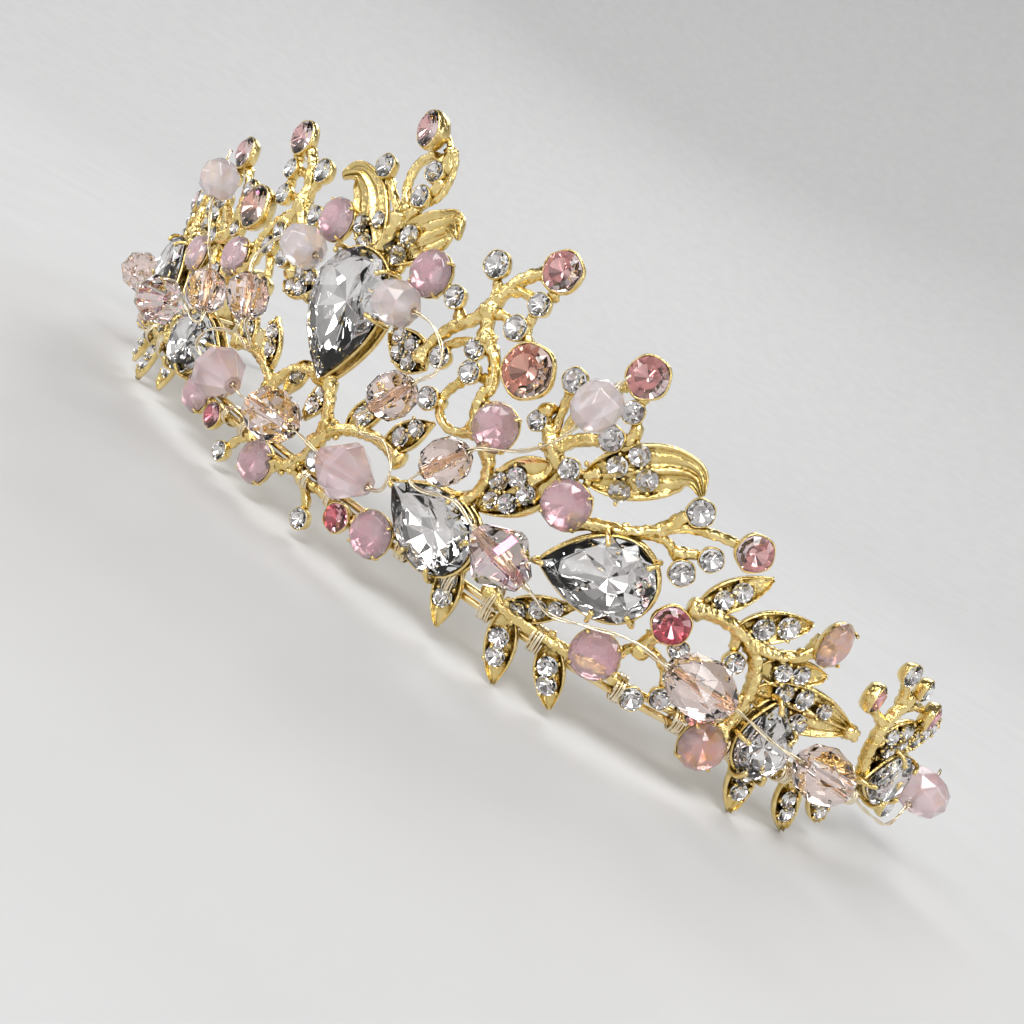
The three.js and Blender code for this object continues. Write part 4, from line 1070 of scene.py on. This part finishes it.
def rail():
    for name, h, run in (("lower_rail_wire", 0.0, RAIL_RUN),
                         ("upper_rail_wire", RAIL_WIRE_PITCH, RAIL_RUN - 1)):
        form = Form("rail_gold")
        line = np.array([arch(s, h, 0.0) for s in np.linspace(-run, run, 260)])
        form.add(*sweep(line, np.full(len(line), RAIL_WIRE_RADIUS), 16))
        if name == "lower_rail_wire":
            for side in SIDES.values():
                tab(form, side)
        form.build(f"{name}_round", "frame", "rail_gold", [name])


def tab(form, side, count=64):
    """A flattened end with rounded corners and a pin hole."""
    matrix = placement(side * (RAIL_RUN + TAB_LENGTH / 2 - TAB_LAP), RAIL_WIRE_PITCH / 2, 0.0)
    hole = np.array([side * TAB_HOLE_OFFSET, 0.0])
    a, b, corner = TAB_LENGTH / 2, TAB_HEIGHT / 2, 0.9
    outer, inner = [], []
    for i in range(count):
        angle = 2 * math.pi * i / count
        ray = np.array([math.cos(angle), math.sin(angle)])
        reach = 0.0
        while True:
            x, y = hole + ray * (reach + 0.02)
            dx, dy = max(abs(x) - (a - corner), 0.0), max(abs(y) - (b - corner), 0.0)
            if math.hypot(dx, dy) > corner:
                break
            reach += 0.02
        outer.append(hole + ray * reach)
        inner.append(hole + ray * TAB_HOLE_RADIUS)
    half = TAB_THICKNESS / 2
    rings = []
    for loop, z, shrink in ((inner, half - 0.12, 1.0), (inner, half, 1.1),
                            (outer, half, 0.95), (outer, half - 0.15, 1.0),
                            (outer, 0.15 - half, 1.0), (outer, -half, 0.95),
                            (inner, -half, 1.1), (inner, 0.12 - half, 1.0)):
        rings += [(*(hole + (p - hole) * shrink), z) for p in loop]
    faces = []
    for k in range(8):
        low, high = k * count, ((k + 1) % 8) * count
        faces += [(low + i, low + (i + 1) % count, high + (i + 1) % count, high + i) for i in range(count)]
    form.put(matrix, rings, faces)


def bindings():
    """Coils of thin wire that tie the castings to the rail."""
    form = Form("wire_gold")
    for side in SIDES.values():
        for s, turns, low, high, far in BINDINGS:
            line = []
            for i in range(turns * 20 + 1):
                angle = 2 * math.pi * i / 20
                along = COIL_PITCH * angle / (2 * math.pi) + 0.08 * math.sin(0.7 * angle)
                line.append(arch(side * (s + along),
                                 (low + high) / 2 + (high - low) / 2 * math.sin(angle),
                                 (COIL_BACK + far) / 2 + (far - COIL_BACK) / 2 * math.cos(angle)))
            form.add(*sweep(np.array(line), np.full(len(line), STRAND_RADIUS), 6))
    form.build("rail_bindings", "frame", "wire_gold")


# ---- Camera, floor and lights ----
def camera():
    forward = Vector((-0.5037, 0.8482, -0.1638)).normalized()
    level = forward.cross(Vector((0, 0, 1))).normalized()
    over = level.cross(forward)
    roll = math.radians(30.1)
    right = level * math.cos(roll) + over * math.sin(roll)
    up = over * math.cos(roll) - level * math.sin(roll)
    data = bpy.data.cameras.new("camera")
    data.lens = 33.7
    data.clip_start = 0.01
    made = bpy.data.objects.new("camera", data)
    rotation = Matrix((right, up, -forward)).transposed().to_4x4()
    made.matrix_world = Matrix.Translation((0.0916, -0.1200, 0.0380)) @ rotation
    bpy.context.scene.collection.objects.link(made)
    bpy.context.scene.camera = made


def floor(sides=96):
    """A pale round floor that rises more and more steeply all round."""
    material, tree, shader = new_material("studio_floor")
    grain = noise(tree, 40.0, 2.0)
    tone = ramp(tree, grain.outputs["Fac"], [(0.3, (0.66, 0.66, 0.66)), (0.7, (0.69, 0.69, 0.69))])
    tree.links.new(tone.outputs["Color"], shader.inputs["Base Color"])
    shader.inputs["Roughness"].default_value = 0.7
    shader.inputs["Specular IOR Level"].default_value = 0.2
    profile = [(0.02, 0.0), (0.5, 0.0), (FLOOR_FLAT, 0.0)]
    step = (FLOOR_REACH - FLOOR_FLAT) / FLOOR_STEPS
    for k in range(FLOOR_STEPS):
        r, z = profile[-1]
        profile.append((r + step, z + step * math.tan(FLOOR_SLOPE * (k + 0.5) / FLOOR_STEPS)))
    points = [(r * math.cos(a), r * math.sin(a), z)
              for r, z in profile for a in np.linspace(0, 2 * math.pi, sides, endpoint=False)]
    faces = [tuple(reversed(range(sides)))]
    for k in range(len(profile) - 1):
        for i in range(sides):
            j = (i + 1) % sides
            faces.append((k * sides + i, k * sides + j, (k + 1) * sides + j, (k + 1) * sides + i))
    mesh = bpy.data.meshes.new("studio_floor")
    mesh.from_pydata(points, [], faces)
    mesh.polygons.foreach_set("use_smooth", [True] * len(faces))
    mesh.materials.append(material)
    made = bpy.data.objects.new("studio_floor", mesh)
    bpy.context.scene.collection.objects.link(made)


def add_light(name, kind, place, power):
    """A light that looks at the tiara."""
    data = bpy.data.lights.new(name, kind)
    data.energy = power
    made = bpy.data.objects.new(name, data)
    aim = Vector((0.0, 0.0, 0.02)) - Vector(place)
    made.matrix_world = Matrix.Translation(place) @ aim.to_track_quat("-Z", "Y").to_matrix().to_4x4()
    made.visible_camera = False
    bpy.context.scene.collection.objects.link(made)
    return data


def lights():
    """Softboxes and narrow strips, in metres and watts, light some facets of the stones and not others."""
    for name, place, size, power in (
            ("key", (-0.8, -1.76, 1.92), (1.28, 0.8), 14.3),
            ("rim", (2.08, 0.48, 1.44), (0.64, 1.12), 10.2),
            ("strip_right", (1.2, -1.0, 0.43), (0.12, 0.66), 0.473),
            ("strip_left", (-1.2, -0.8, 0.43), (0.12, 0.74), 0.53),
            ("strip_front", (0.25, -1.5, 0.75), (0.9, 0.1), 0.645),
            ("back", (-1.12, 1.6, 1.6), (0.96, 0.64), 7.0)):
        data = add_light(name, "AREA", place, power)
        data.shape = "RECTANGLE"
        data.size, data.size_y = size
        if name.startswith("strip"):
            data.spread = STRIP_SPREAD
    add_light("sun", "SUN", (0.25, -0.8, 1.1), 1.4).angle = math.radians(25)
    add_light("back_sun", "SUN", (-0.3, 0.9, 1.0), 0.65).angle = math.radians(30)
    world = bpy.data.worlds.new("studio")
    world.use_nodes = True
    world.node_tree.nodes["Background"].inputs["Color"].default_value = (0.53, 0.52, 0.51, 1.0)
    world.node_tree.nodes["Background"].inputs["Strength"].default_value = 0.3
    bpy.context.scene.world = world
    bpy.context.scene.view_settings.view_transform = "Standard"


# ---- Assembly ----
camera()
floor()
lights()
rail()
centre_spray()
pear_crystal("centre", "centre_pear_crystal", 1)
opal_stone(CENTRE_OPAL, "centre_opal", 1)
bead(CENTRE_BEAD, "centre_bead", 1)
inner_wire()
for word, side in SIDES.items():
    inner_spray(word, side)
    middle_spray(word, side)
    rail_spray(word, side)
    outer_spray(word, side)
    end_spray(word, side)
    outer_wire(word, side)
    for name in ("inner", "middle", "outer", "end"):
        pear_crystal(name, f"{name}_pear_crystal_{word}", side)
    for name, opal in OPALS.items():
        look = "opal_fire" if name in FIERY_OPALS else "opal_glass"
        opal_stone(opal, f"{name}_opal_{word}", side, look)
    for name, spec in BEADS.items():
        bead(spec, f"{name}_bead_{word}", side)
bindings()
